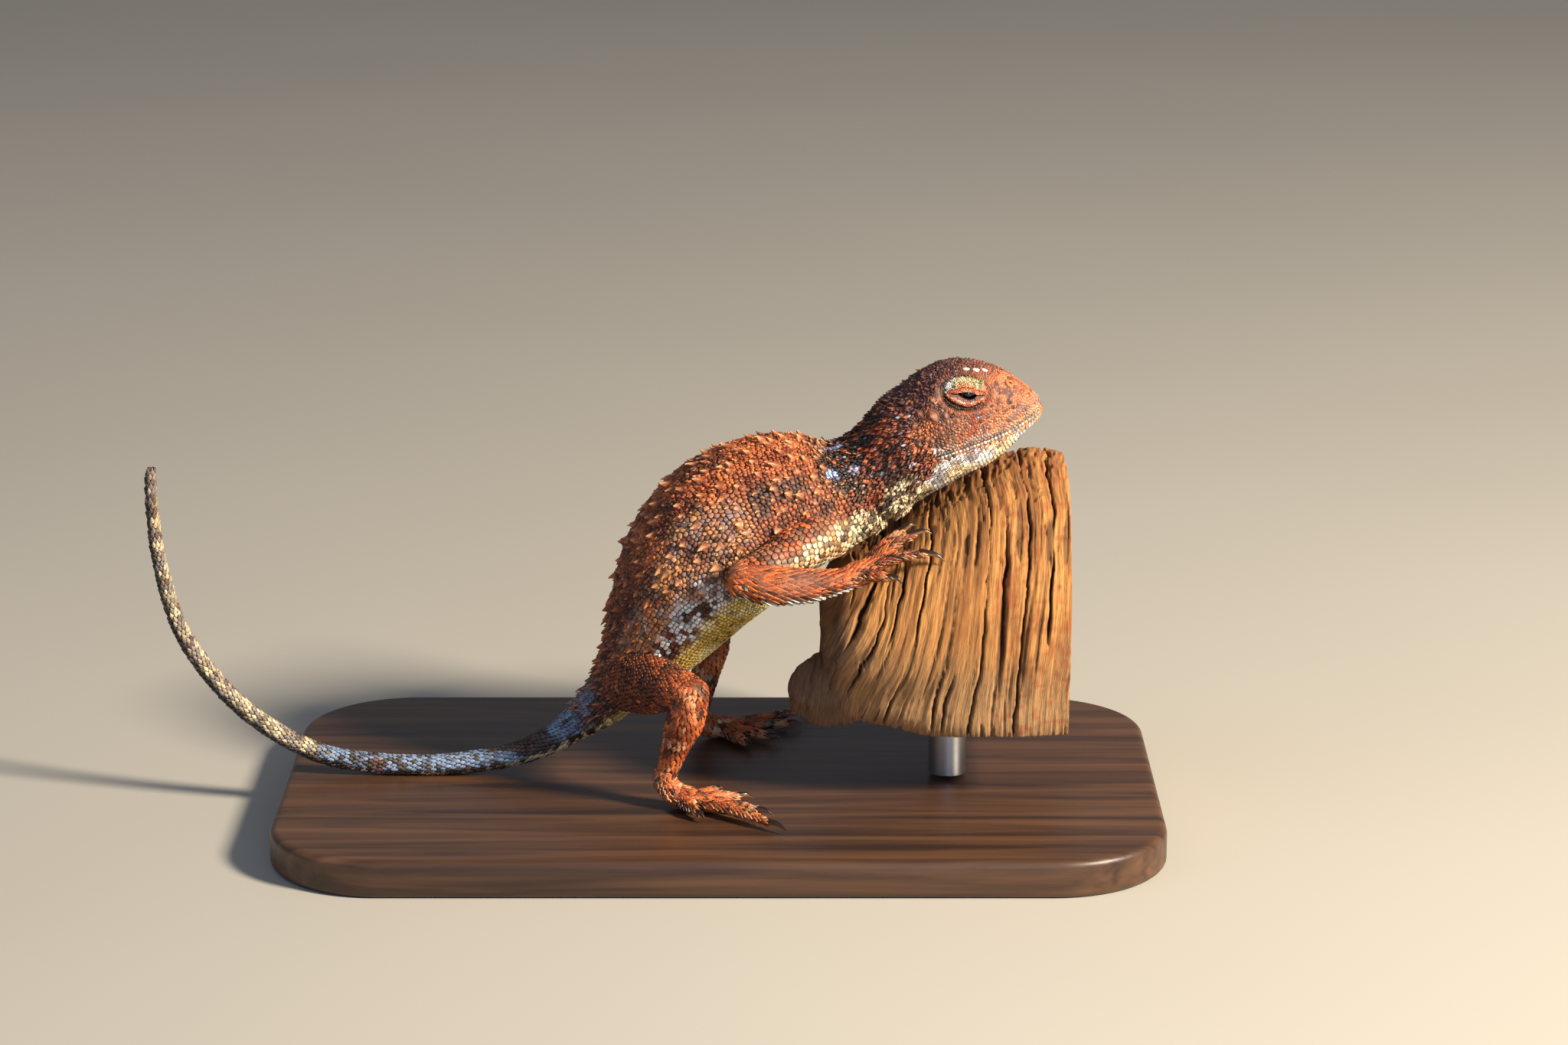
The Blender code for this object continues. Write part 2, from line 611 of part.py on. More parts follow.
def limb_spines(rows, spots, size, collection):
    """Thorns on a limb, at places given as a share of its length and an angle from straight up."""
    table = smooth_rows(rows, np.linspace(0, len(rows) - 1, 61))
    thorns = []
    for share, angle in spots:
        k = int(round(share * 60))
        ahead = table[min(k + 1, 60), :3] - table[max(k - 1, 0), :3]
        ahead /= np.linalg.norm(ahead)
        up = np.array([0, 0, 1.0]) - ahead * ahead[2]
        up /= np.linalg.norm(up)
        side = np.cross(ahead, up)
        turn = math.radians(angle)
        normal = up * math.cos(turn) + side * math.sin(turn)
        place = table[k, :3] + normal * table[k, 3]
        thorns.append(spine(place, normal, -ahead * 0.2 + np.array([-0.7, 0, 0.2]), size, collection))
    return thorns


def wood_piece(made_of, collection):
    """The cut length of weathered wood, lobed round its long axis, with clean cuts right and below."""
    at = np.concatenate([np.linspace(0, 3, 6), np.linspace(3.7, len(PERCH_ROWS) - 1, 8)])
    x, middle, high, wide = smooth_rows(PERCH_ROWS, at).T
    turn = np.linspace(0, 2 * np.pi, 30, endpoint=False)
    rings = np.empty((len(at), len(turn), 3))
    lobes = 1.0 + sum(depth * np.sin(count * turn + phase) for count, depth, phase in PERCH_LOBES)
    rise = np.sign(np.cos(turn)) * np.abs(np.cos(turn)) ** 0.72
    side = np.sign(np.sin(turn)) * np.abs(np.sin(turn)) ** 0.72
    rings[..., 0] = x[:, None]
    rings[..., 1] = wide[:, None] * side * lobes
    rings[..., 2] = middle[:, None] + high[:, None] * rise
    wood = loft("stand_perch", rings, made_of, collection)
    join(wood, [ball("knob", *PERCH_KNOB, collection)])
    cut_plane(wood, (0, 0, PERCH_BOTTOM), (0, 0, -1))
    cutters = [body_cutter(20, LAST_ROW, collection)]
    for left in (False, True):
        cutters.append(
            paw("cutter", PALM, FINGERS, FINGER_RADII, left, (0, 0), None, collection, GAP)
        )
        cutters.append(bone("cutter", mirrored(FOREARM, left), 10, 7, None, collection, GAP))
    join(wood, cutters, "DIFFERENCE")
    return keep_largest(wood)


def plate(name, made_of, collection):
    """The flat base: a box with round corners and softened rims."""
    shape = bmesh.new()
    bmesh.ops.create_cube(shape, size=1.0)
    bmesh.ops.scale(shape, vec=Vector((BASE_LENGTH, BASE_WIDTH, BASE_THICK)) * MM, verts=shape.verts)
    bmesh.ops.translate(shape, vec=(0, 0, BASE_THICK * MM / 2), verts=shape.verts)
    upright = [e for e in shape.edges if abs(e.verts[0].co.z - e.verts[1].co.z) > BASE_THICK * MM / 2]
    bmesh.ops.bevel(
        shape, geom=upright, offset=BASE_CORNER * MM, segments=8, profile=0.5, affect="EDGES"
    )
    rim = [e for e in shape.edges if all(v.co.z > (BASE_THICK - 0.01) * MM for v in e.verts)]
    bmesh.ops.bevel(shape, geom=rim, offset=BASE_EDGE * MM, segments=2, profile=0.5, affect="EDGES")
    mesh = bpy.data.meshes.new(name)
    shape.to_mesh(mesh)
    shape.free()
    made = new_object(name, mesh, made_of, collection)
    mesh.shade_smooth()
    mesh.set_sharp_from_angle(angle=math.radians(30))
    return made


def rod(name, made_of, collection):
    """The short upright rod between the base and the piece of wood."""
    tall = PERCH_BOTTOM - GAP - FLOOR
    shape = bmesh.new()
    bmesh.ops.create_cone(
        shape, cap_ends=True, segments=24, radius1=ROD_RADIUS * MM, radius2=ROD_RADIUS * MM, depth=tall * MM
    )
    bmesh.ops.translate(shape, vec=Vector((PERCH_X, 0, FLOOR + tall / 2)) * MM, verts=shape.verts)
    mesh = bpy.data.meshes.new(name)
    shape.to_mesh(mesh)
    shape.free()
    made = new_object(name, mesh, made_of, collection)
    mesh.shade_smooth()
    mesh.set_sharp_from_angle(angle=math.radians(30))
    return made


def eye_place(left):
    """The middle of one eye."""
    return head_point(EYE[0], EYE[1], EYE_SIDE if left else -EYE_SIDE)


def main():
    clear_scene()
    dragon = bpy.data.collections.new("pebble_mimic_dragon")
    bpy.context.scene.collection.children.link(dragon)
    skin = material("scaly_skin", SKIN, 0.75)
    tail_skin = material("tail_skin", TAIL_SKIN, 0.7)

    torso = body_length("torso", TAIL_BASE_ENDS, TORSO_ENDS, 20, 30, skin, dragon)
    join(torso, spines(TAIL_BASE_ENDS + 0.5, TORSO_ENDS - 0.5, SPINE_ROWS, 98, 1.0, dragon))
    body_length("tail_tip", 0.0, TAIL_TIP_ENDS, 12, 10, tail_skin, dragon)
    body_length("tail_middle", TAIL_TIP_ENDS, TAIL_MIDDLE_ENDS, 14, 12, tail_skin, dragon)
    tail_base = body_length("tail_base", TAIL_MIDDLE_ENDS, TAIL_BASE_ENDS, 10, 14, skin, dragon)
    neck = body_length("neck", TORSO_ENDS, NECK_ENDS, 7, 26, skin, dragon)
    head = body_length("head", NECK_ENDS, LAST_ROW, 20, 26, skin, dragon)
    black = material("eye", EYE_BLACK, 0.1)
    join(tail_base, spines(TAIL_MIDDLE_ENDS + 2.2, TAIL_BASE_ENDS - 0.4, 3, 70, 0.62, dragon))
    join(neck, spines(TORSO_ENDS + 0.45, NECK_ENDS - 0.45, 2, 75, 0.75, dragon) + [throat_fold(dragon)])
    shape_head(head, dragon)
    for side, left in (("right", False), ("left", True)):
        limb(side, skin, dragon)
        eye = ball(side + "_eye", eye_place(left), (EYE_RADIUS,) * 3, dragon, None, (12, 8))
        eye.data.materials.append(black)
        eye.data.shade_smooth()
    wood_piece(material("weathered_wood", WOOD, 0.8), dragon)
    plate("stand_base", material("stand_wood", STAND_WOOD, 0.4), dragon)
    rod("stand_rod", material("steel", STEEL, 0.3, 1.0), dragon)
    for node in (torso, tail_base, neck):
        keep_largest(node)


main()
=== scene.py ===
"""Goldfields pebble-mimic dragon: a still, life-size model rearing on a cut piece of weathered wood."""

import math

import bpy
import bmesh
import numpy as np
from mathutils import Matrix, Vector
from mathutils.bvhtree import BVHTree
from mathutils.kdtree import KDTree


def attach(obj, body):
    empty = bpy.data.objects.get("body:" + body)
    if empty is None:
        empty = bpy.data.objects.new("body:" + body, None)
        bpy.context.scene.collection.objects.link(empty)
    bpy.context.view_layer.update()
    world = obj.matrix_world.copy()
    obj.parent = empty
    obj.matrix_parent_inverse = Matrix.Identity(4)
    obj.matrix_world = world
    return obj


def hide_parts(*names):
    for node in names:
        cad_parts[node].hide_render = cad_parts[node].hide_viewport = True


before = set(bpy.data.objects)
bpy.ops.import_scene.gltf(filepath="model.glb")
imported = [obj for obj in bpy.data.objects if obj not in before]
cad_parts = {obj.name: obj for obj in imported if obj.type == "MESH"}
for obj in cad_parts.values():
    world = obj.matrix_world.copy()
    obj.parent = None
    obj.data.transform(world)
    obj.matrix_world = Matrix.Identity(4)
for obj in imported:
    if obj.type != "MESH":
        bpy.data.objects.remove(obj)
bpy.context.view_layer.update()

# Body form
# The animal is about 55 mm from snout to vent with a tail of some 70 mm: a round-backed, depressed trunk on a
# steep pelvis, a short neck and a deep, blunt head. Every table is in millimetres, and MM turns it to metres.
MM = 0.001
TRUNK = np.array((
    (-59.3, 37.6, -91.0, 0.50, 0.50), (-59.3, 33.8, -88.0, 0.60, 0.60), (-58.8, 28.0, -82.0, 0.68, 0.68),
    (-57.4, 21.8, -73.0, 0.78, 0.78), (-55.3, 17.3, -60.0, 0.84, 0.84), (-51.7, 12.6, -47.0, 0.88, 0.88),
    (-48.0, 9.4, -36.0, 0.92, 0.94), (-44.2, 7.1, -25.0, 0.95, 0.98), (-40.4, 5.8, -13.0, 0.98, 1.00),
    (-35.0, 5.1, -3.0, 1.00, 1.05), (-29.0, 5.1, 4.0, 1.02, 1.15), (-23.2, 5.9, 14.0, 1.10, 1.30),
    (-19.3, 7.2, 26.0, 1.25, 1.55), (-16.2, 9.0, 35.0, 1.55, 2.1), (-13.5, 11.1, 42.0, 2.1, 3.5),
    (-10.7, 13.9, 50.0, 3.0, 5.1), (-8.3, 17.2, 57.0, 4.4, 6.4), (-5.9, 21.2, 60.0, 6.1, 8.4),
    (-3.6, 25.2, 56.0, 7.5, 9.8), (-1.3, 28.2, 49.0, 8.2, 10.3), (1.2, 30.6, 39.0, 8.4, 10.2),
    (4.2, 32.5, 27.0, 8.0, 9.4), (7.6, 33.8, 18.0, 7.3, 8.2), (11.0, 34.7, 20.0, 6.2, 6.8),
    (14.0, 35.5, 30.0, 5.2, 5.5), (16.5, 37.15, 32.0, 4.85, 5.2),
))
SNOUT = np.array((33.5, 0.0, 44.4))
PITCH = math.radians(24.5)
FORWARD = np.array((math.cos(PITCH), 0.0, math.sin(PITCH)))
UPWARD = np.array((-math.sin(PITCH), 0.0, math.cos(PITCH)))
SIDEWAYS = np.array((0.0, 1.0, 0.0))
HEAD = np.array((
    (16.4, 6.4, -3.8, 5.7), (14.6, 7.05, -3.6, 6.2), (12.6, 7.6, -3.4, 6.5), (10.6, 8.1, -3.15, 6.5),
    (8.8, 8.3, -3.2, 6.15), (7.3, 8.15, -3.1, 5.7), (5.9, 7.65, -2.8, 5.2), (4.6, 6.95, -2.4, 4.55),
    (3.4, 6.0, -1.95, 3.85), (2.3, 4.9, -1.5, 3.15), (1.3, 3.4, -1.1, 2.45), (0.55, 2.0, -0.8, 1.7),
    (0.12, 0.9, -0.45, 0.9),
))
TAIL_ROW, HEAD_ROW = 14.6, float(len(TRUNK))
LAST_ROW = len(TRUNK) + len(HEAD) - 1
SKIN_DEPTH = -0.10


def head_point(behind, height, side=0.0):
    """Points of the head from the distance behind the snout, the height over its tip, and the side."""
    behind, height, side = np.broadcast_arrays(behind, height, side)
    return SNOUT - behind[..., None] * FORWARD + height[..., None] * UPWARD + side[..., None] * SIDEWAYS


def unit(vectors):
    """Vectors of length one."""
    return vectors / np.maximum(np.linalg.norm(vectors, axis=-1, keepdims=True), 1e-9)


def circle(count):
    """Angles spread evenly round a full turn."""
    return np.linspace(0, 2 * np.pi, count, endpoint=False)


def signed_power(values, power):
    """Values raised to a power, each with its sign."""
    return np.sign(values) * np.abs(values) ** power


def bell(distance, width):
    """One at no distance, falling off in a bell of a width."""
    return np.exp(-((distance / width) ** 2))


def step(low, high, value):
    """Zero below low, one above high, smooth between."""
    t = np.clip((value - low) / (high - low), 0, 1)
    return t * t * (3 - 2 * t)


def smooth_rows(rows, at):
    """Values of a table at real row numbers, on a Catmull-Rom cubic through every row."""
    rows, at = np.asarray(rows, float), np.asarray(at, float)
    padded = np.vstack([2 * rows[0] - rows[1], rows, 2 * rows[-1] - rows[-2]])
    at = np.clip(at, 0, len(rows) - 1)
    span = np.minimum(at.astype(int), len(rows) - 2)
    t = (at - span)[..., None]
    a, b, c, d = (padded[span + k] for k in range(4))
    return 0.5 * (2 * b + (c - a) * t + (2 * a - 5 * b + 4 * c - d) * t**2 + (3 * b - a - 3 * c + d) * t**3)


middles = head_point(HEAD[:, 0], (HEAD[:, 1] + HEAD[:, 2]) / 2)
half_heights = (HEAD[:, 1] - HEAD[:, 2]) / 2
pitches = np.full(len(HEAD), math.degrees(PITCH))
SPINE = np.vstack([TRUNK, np.column_stack([middles[:, 0], middles[:, 2], pitches, half_heights, HEAD[:, 3]])])


def body_point(at, turn, lift=0.0):
    """Points of trunk and head: rounded ovals square to a bent middle line, at a row number and an angle
    from the ridge of the back, raised by the lift."""
    at, turn = np.broadcast_arrays(np.asarray(at, float), np.asarray(turn, float))
    x, z, pitch, high, wide = np.moveaxis(smooth_rows(SPINE, at), -1, 0)
    pitch = np.radians(pitch)
    headness = np.clip((at - HEAD_ROW + 1) / 3, 0, 1)
    power = 0.9 - 0.12 * headness
    rise, side = signed_power(np.cos(turn), power), signed_power(np.sin(turn), power)
    out = (wide + lift) * side * (1 - headness * 0.12 * np.clip(rise, 0, 1) ** 1.5)
    up = (high + lift) * rise
    return np.stack([x - np.sin(pitch) * up, -out, z + np.cos(pitch) * up], axis=-1)


def tube(rows, sides, rings, lift=0.0, caps=4):
    """Rings of points round a path of x, y, z and radius, closed by half balls. Each ring's first direction is
    the one before it, turned with the path."""
    path = smooth_rows(rows, np.linspace(0, len(rows) - 1, rings))
    centres, radii = path[:, :3], np.maximum(path[:, 3] + lift, 0.02)
    ways = unit(np.gradient(centres, axis=0))
    lean = np.radians(86) * np.arange(1, caps + 1)[:, None] / caps
    first = centres[0] - ways[0] * radii[0] * np.sin(lean[::-1])
    last = centres[-1] + ways[-1] * radii[-1] * np.sin(lean)
    centres = np.vstack([first, centres, last])
    radii = np.concatenate([radii[0] * np.cos(lean[::-1, 0]), radii, radii[-1] * np.cos(lean[:, 0])])
    ways = np.vstack([np.repeat(ways[:1], caps, 0), ways, np.repeat(ways[-1:], caps, 0)])
    across = [np.cross(ways[0], (0.31, 0.2, 0.93))]
    for way in ways[1:]:
        across.append(across[-1] - way * np.dot(across[-1], way))
    across = unit(np.array(across))
    third = np.cross(ways, across)
    turn = circle(sides)[None, :, None]
    ring = np.cos(turn) * across[:, None] + np.sin(turn) * third[:, None]
    return centres[:, None] + radii[:, None, None] * ring


def grid_faces(rows, columns):
    """Corner numbers of a roll of quads over rows of points, closed round its columns."""
    row, column = np.meshgrid(np.arange(rows - 1), np.arange(columns), indexing="ij")
    here, right = row * columns + column, row * columns + (column + 1) % columns
    return np.stack([here, right, right + columns, here + columns], -1).reshape(-1, 4)


def closed_roll(rings):
    """Vertices and faces of a closed solid over rings of points, with a hub at the middle of each end."""
    count, sides = rings.shape[:2]
    points = np.vstack([rings.reshape(-1, 3), rings[0].mean(0), rings[-1].mean(0)])
    ring = np.arange(sides)
    start = np.column_stack([np.full(sides, count * sides), (ring + 1) % sides, ring])
    end = np.column_stack([np.full(sides, count * sides + 1), ring, (ring + 1) % sides])
    end[:, 1:] += (count - 1) * sides
    faces = grid_faces(count, sides).tolist() + start.tolist() + end.tolist()
    return points, faces


def placed(name, data):
    """A new object of a mesh, lamp or camera, in the scene at the origin."""
    made = bpy.data.objects.new(name, data)
    bpy.context.scene.collection.objects.link(made)
    return made


def mesh_from(name, points, faces):
    """An object at the origin, its faces turned out, from points in millimetres and lists of corners."""
    mesh = bpy.data.meshes.new(name)
    mesh.from_pydata((np.asarray(points) * MM).tolist(), [], faces)
    mesh.update()
    mesh.shade_smooth()
    shape = bmesh.new()
    shape.from_mesh(mesh)
    bmesh.ops.recalc_face_normals(shape, faces=shape.faces)
    shape.to_mesh(mesh)
    shape.free()
    return placed(name, mesh)


def add_tint(made, tint):
    """Stores one colour for each point of a mesh."""
    values = np.ones((len(tint), 4), np.float32)
    values[:, :3] = tint
    layer = made.data.color_attributes.new("tint", "FLOAT_COLOR", "POINT")
    layer.data.foreach_set("color", values.ravel())
    made.data.color_attributes.active_color = layer


def solid_from(name, shells):
    """One object of closed rolls, each given as rings of points and the colours of these points."""
    all_points, all_faces, all_tints, start = [], [], [], 0
    for rings, tints in shells:
        points, faces = closed_roll(rings)
        tints = tints.reshape(-1, 3)
        all_points.append(points)
        all_faces += [[corner + start for corner in face] for face in faces]
        all_tints.append(np.vstack([tints, tints[0], tints[-1]]))
        start += len(points)
    made = mesh_from(name, np.vstack(all_points), all_faces)
    add_tint(made, np.vstack(all_tints))
    return made


def dress(made, material, slot, *nodes):
    """Gives a piece its material and its body, and hides the nodes whose place it takes; the slot is not used."""
    made.data.materials.append(material)
    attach(made, "root")
    if nodes:
        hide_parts(*nodes)
    return made


def line_distance(a, b, line):
    """Distance in the side view to a bent line of places."""
    line = np.asarray(line, float)
    best = np.full(np.shape(a), 1e9)
    for start, end in zip(line[:-1], line[1:]):
        span = end - start
        t = np.clip(((a - start[0]) * span[0] + (b - start[1]) * span[1]) / (span @ span), 0, 1)
        best = np.minimum(best, np.hypot(a - start[0] - t * span[0], b - start[1] - t * span[1]))
    return best


# Head relief
# Folds and ridges of the head in side view, each a bell-shaped ridge or groove along a line: distance behind
# the snout and height over its tip. The eye lies in a tilted oval with a crease round it.
MOUTH_END = 12.2
MOUTH = ((0.4, -0.3), (1.8, -0.45), (4.2, -0.4), (7.3, 0.1), (10.0, 0.5), (12.1, 0.75))
BROW = ((10.4, 6.2), (8.6, 7.0), (6.4, 6.85), (4.5, 5.9), (3.1, 4.7))
SNOUT_RIDGE = ((1.2, 2.0), (2.9, 2.05), (4.6, 2.1), (6.2, 1.9), (8.5, 1.5))
CHEEK_FOLD = ((12.0, 0.9), (13.2, 1.6), (14.2, 1.2), (15.2, 0.0))
THROAT_EDGE = ((MOUTH_END, 0.3), (13.4, -0.8), (16, -1.7), (18, -2.0))
CROWN_EDGE = ((0, 4.4), (3, 5.3), (6, 7.0), (9, 6.4), (14, 4.2), (18, 2.6))
EYE_MIDDLE = (6.35, 5.2)
EYE_TILT = math.radians(-29.5)
EYE_OVAL = (2.46, 1.62)
OVAL_SHIFT = (-0.26, 0.0)
NOSTRIL = (2.05, 3.9)
FOLDS = ((MOUTH, 0.17, -0.30), (BROW, 0.55, 0.34), (SNOUT_RIDGE, 0.16, 0.12), (CHEEK_FOLD, 0.4, -0.22),
         ([(a, b + 0.5) for a, b in MOUTH], 0.3, 0.12), ([(a, b - 0.5) for a, b in MOUTH], 0.3, 0.12))


def line_height(a, line=MOUTH):
    """Height of a line of the head, by default the mouth, at a distance behind the snout."""
    return np.interp(a, *np.transpose(line))


def eye_place(x, y):
    """Distance behind the snout and height over its tip of places along the eye's slit and up across it."""
    a = EYE_MIDDLE[0] - x * math.cos(EYE_TILT) + y * math.sin(EYE_TILT)
    return np.stack([a, EYE_MIDDLE[1] + x * math.sin(EYE_TILT) + y * math.cos(EYE_TILT)])


def oval_place(turn, reach=1.0):
    """Places along the eye's slit and up across it, at an angle and a share of its oval's reach."""
    return OVAL_SHIFT[0] + reach * EYE_OVAL[0] * np.cos(turn), OVAL_SHIFT[1] + reach * EYE_OVAL[1] * np.sin(turn)


def oval_reach(x, y):
    """One on the rim of the eye's oval, less within it, for places along and across the slit."""
    return np.hypot((x - OVAL_SHIFT[0]) / EYE_OVAL[0], (y - OVAL_SHIFT[1]) / EYE_OVAL[1])


def eye_slit(a, b):
    """Places along the eye's slit and up across it for distances behind the snout and heights over its tip."""
    ahead, over = EYE_MIDDLE[0] - a, b - EYE_MIDDLE[1]
    cosine, sine = math.cos(EYE_TILT), math.sin(EYE_TILT)
    return ahead * cosine + over * sine, over * cosine - ahead * sine


def head_places(points):
    """Distance behind the snout and height over its tip."""
    away = points - SNOUT
    return -away @ FORWARD, away @ UPWARD


def relief(points):
    """How far the head's folds lift the skin at points on it."""
    a, b = head_places(points)
    side = np.abs(points[..., 1])
    lift = np.zeros(a.shape)
    for line, width, amount in FOLDS:
        lift += amount * bell(line_distance(a, b, line), width) * np.clip(side - 0.2, 0, 1)
    oval = oval_reach(*eye_slit(a, b))
    on_side = np.clip((side - 2.0) / 1.5, 0, 1)
    lift -= on_side * 1.1 * np.clip((0.93 - oval) / 0.2, 0, 1)
    lift -= on_side * 0.08 * bell(oval - 1.05, 0.06)
    lift += on_side * 0.13 * bell(oval - 1.24, 0.11)
    rear = np.clip(a - 7.2, 0, 1) * np.clip((7.0 - b) / 0.8, 0, 1) * np.clip((1.85 - oval) / 0.3, 0, 1)
    lift += on_side * 0.07 * np.cos((oval - 1.24) * 2 * np.pi / 0.19) * rear * (oval > 1.15)
    lift -= 0.4 * bell(np.hypot(a - NOSTRIL[0], b - NOSTRIL[1]), 0.24) * on_side
    return lift * np.clip((18 - a) / 2, 0, 1)


# Limbs
# Each limb is a chain of tapering rolls of flesh: right side tables of x, y, z and radius from the root out.
# The left side mirrors them, and its hind foot stands a little farther forward.
UPPER_ARM = ((11.2, -4.6, 32.0, 3.0), (8.6, -8.4, 31.4, 2.55), (5.4, -11.2, 30.2, 2.05), (2.4, -12.9, 29.1, 1.7))
FOREARM = ((2.4, -12.9, 29.1, 1.65), (5.2, -13.1, 28.6, 1.85), (9.2, -12.6, 28.4, 1.6), (12.7, -11.8, 28.7, 1.2))
PALM = ((12.7, -11.8, 28.7, 1.15), (14.3, -11.3, 29.2, 1.3), (15.6, -11.0, 29.8, 1.05))
FINGERS = (
    ((14.6, -10.4, 29.6), (16.3, -8.9, 30.8), (17.5, -8.2, 31.7), (18.5, -7.7, 32.2)),
    ((15.3, -10.3, 30.0), (17.2, -9.0, 31.8), (18.9, -8.3, 33.0), (20.3, -7.9, 33.5)),
    ((15.6, -10.8, 30.0), (17.8, -10.3, 31.9), (20.0, -10.1, 33.1), (21.8, -10.1, 33.2)),
    ((15.6, -11.3, 29.8), (18.4, -11.7, 31.1), (21.2, -12.2, 31.6), (23.1, -12.5, 30.9)),
    ((14.8, -11.9, 29.2), (16.4, -13.0, 29.4), (17.7, -13.8, 29.5), (18.7, -14.3, 29.0)),
)
FINGER_RADII = (0.66, 0.62, 0.42)
THIGH = ((-9.0, -2.8, 15.7, 3.7), (-7.5, -7.2, 16.3, 3.2), (-5.2, -10.8, 17.0, 2.5), (-2.9, -13.5, 17.0, 1.95))
SHANK = ((-2.9, -13.5, 17.0, 1.85), (-3.4, -13.0, 14.2, 1.95), (-4.4, -12.0, 11.2, 1.5), (-5.3, -11.2, 8.3, 1.1))
SOLE = ((-5.3, -11.2, 8.3, 1.1), (-5.7, -10.9, 7.0, 1.15), (-4.6, -11.2, 5.6, 1.3), (-3.0, -11.8, 5.25, 1.2),
        (-1.6, -12.4, 5.05, 1.0))
TOES = (
    ((-3.0, -11.0, 5.0), (-1.4, -9.0, 4.9), (-0.4, -7.6, 4.8), (0.3, -6.3, 4.5)),
    ((-2.2, -11.4, 5.0), (0.0, -10.4, 5.0), (2.0, -9.8, 4.8), (3.5, -9.4, 4.5)),
    ((-1.9, -12.2, 5.0), (1.0, -13.0, 5.05), (3.9, -14.2, 4.8), (5.6, -14.9, 4.5)),
    ((-2.0, -12.7, 5.0), (1.6, -15.2, 5.1), (5.2, -18.4, 4.85), (7.0, -20.0, 4.5)),
    ((-3.6, -12.2, 5.0), (-3.0, -13.9, 5.0), (-2.2, -15.2, 4.8), (-1.4, -16.3, 4.5)),
)
TOE_RADII = (0.70, 0.64, 0.44)
LEFT_SHIFT = (3.0, 1.0)


def sided(rows, left, shift=0.0):
    """A right side table as it is, or mirrored for the left and moved by a share of the left foot's shift."""
    rows = np.array(rows, float)
    if left:
        rows[:, 1] = -rows[:, 1] + np.asarray(shift) * LEFT_SHIFT[1]
        rows[:, 0] += np.asarray(shift) * LEFT_SHIFT[0]
    return rows


rolls = {}
claw_paths = []
for left, label in ((False, "right_"), (True, "left_")):
    for name, table, shift in (
            ("upper_arm", UPPER_ARM, 0.0), ("forearm", FOREARM, 0.0), ("palm", PALM, 0.0),
            ("thigh", THIGH, np.linspace(0, 0.6, len(THIGH))), ("shank", SHANK, np.linspace(0.6, 1, len(SHANK))),
            ("sole", SOLE, 1.0)):
        rolls[label + name] = sided(table, left, shift)
    for number in range(5):
        for name, table, radii, shift in (("finger", FINGERS, FINGER_RADII, 0.0), ("toe", TOES, TOE_RADII, 1.0)):
            digit = sided(table[number], left, shift)
            rolls["%s%s_%d" % (label, name, number)] = np.column_stack([digit[:3], radii])
            claw_paths.append(digit[2:])

# Colour
# Markings are worked out at each place on the body and stored with the mesh: rust and orange above, grey-tan
# cobbles on the flanks, black and white along the lower flank, yellow and cream below. Painted shade is worked in
# with them: over the pelvis, behind the arm, on the tail, on the crown, round the eyes and in the nostrils.


def linear(code):
    """A hex colour turned from sRGB to linear."""
    channels = np.array([int(code[k:k + 2], 16) for k in (1, 3, 5)]) / 255
    return np.where(channels <= 0.04045, channels / 12.92, ((channels + 0.055) / 1.055) ** 2.4)


def noise(points, size, seed):
    """Value noise from 0 to 1: random numbers at the corners of cubes of a size, blended by smooth weights."""
    table = np.random.default_rng(seed).random((32, 32, 32))
    where = np.asarray(points) / size + 100.5
    base = np.floor(where).astype(int)
    part = where - base
    part = part * part * (3 - 2 * part)
    total = np.zeros(where.shape[:-1])
    for corner in np.ndindex(2, 2, 2):
        weight = np.prod(np.where(corner, part, 1 - part), axis=-1)
        total += weight * table[tuple(np.moveaxis((base + corner) % 32, -1, 0))]
    return total


def mix(first, second, share):
    """A blend of two colours, arrays of colours or hex codes."""
    first, second = (linear(colour) if isinstance(colour, str) else colour for colour in (first, second))
    share = np.asarray(share)[..., None]
    return first * (1 - share) + second * share


RUST, ORANGE, TAN, UMBER, SLATE, BLACK, WHITE, CREAM, ICE, ASH = (linear(code) for code in (
    "#7e2f12", "#c9601f", "#b88a58", "#3f1c12", "#626a78", "#15100f", "#dcdad6", "#e2cfa4", "#9dc0ea", "#857a74"))


def away_from_ridge(turn):
    """Degrees from the ridge of the back."""
    return np.degrees(np.abs((turn + np.pi) % (2 * np.pi) - np.pi))


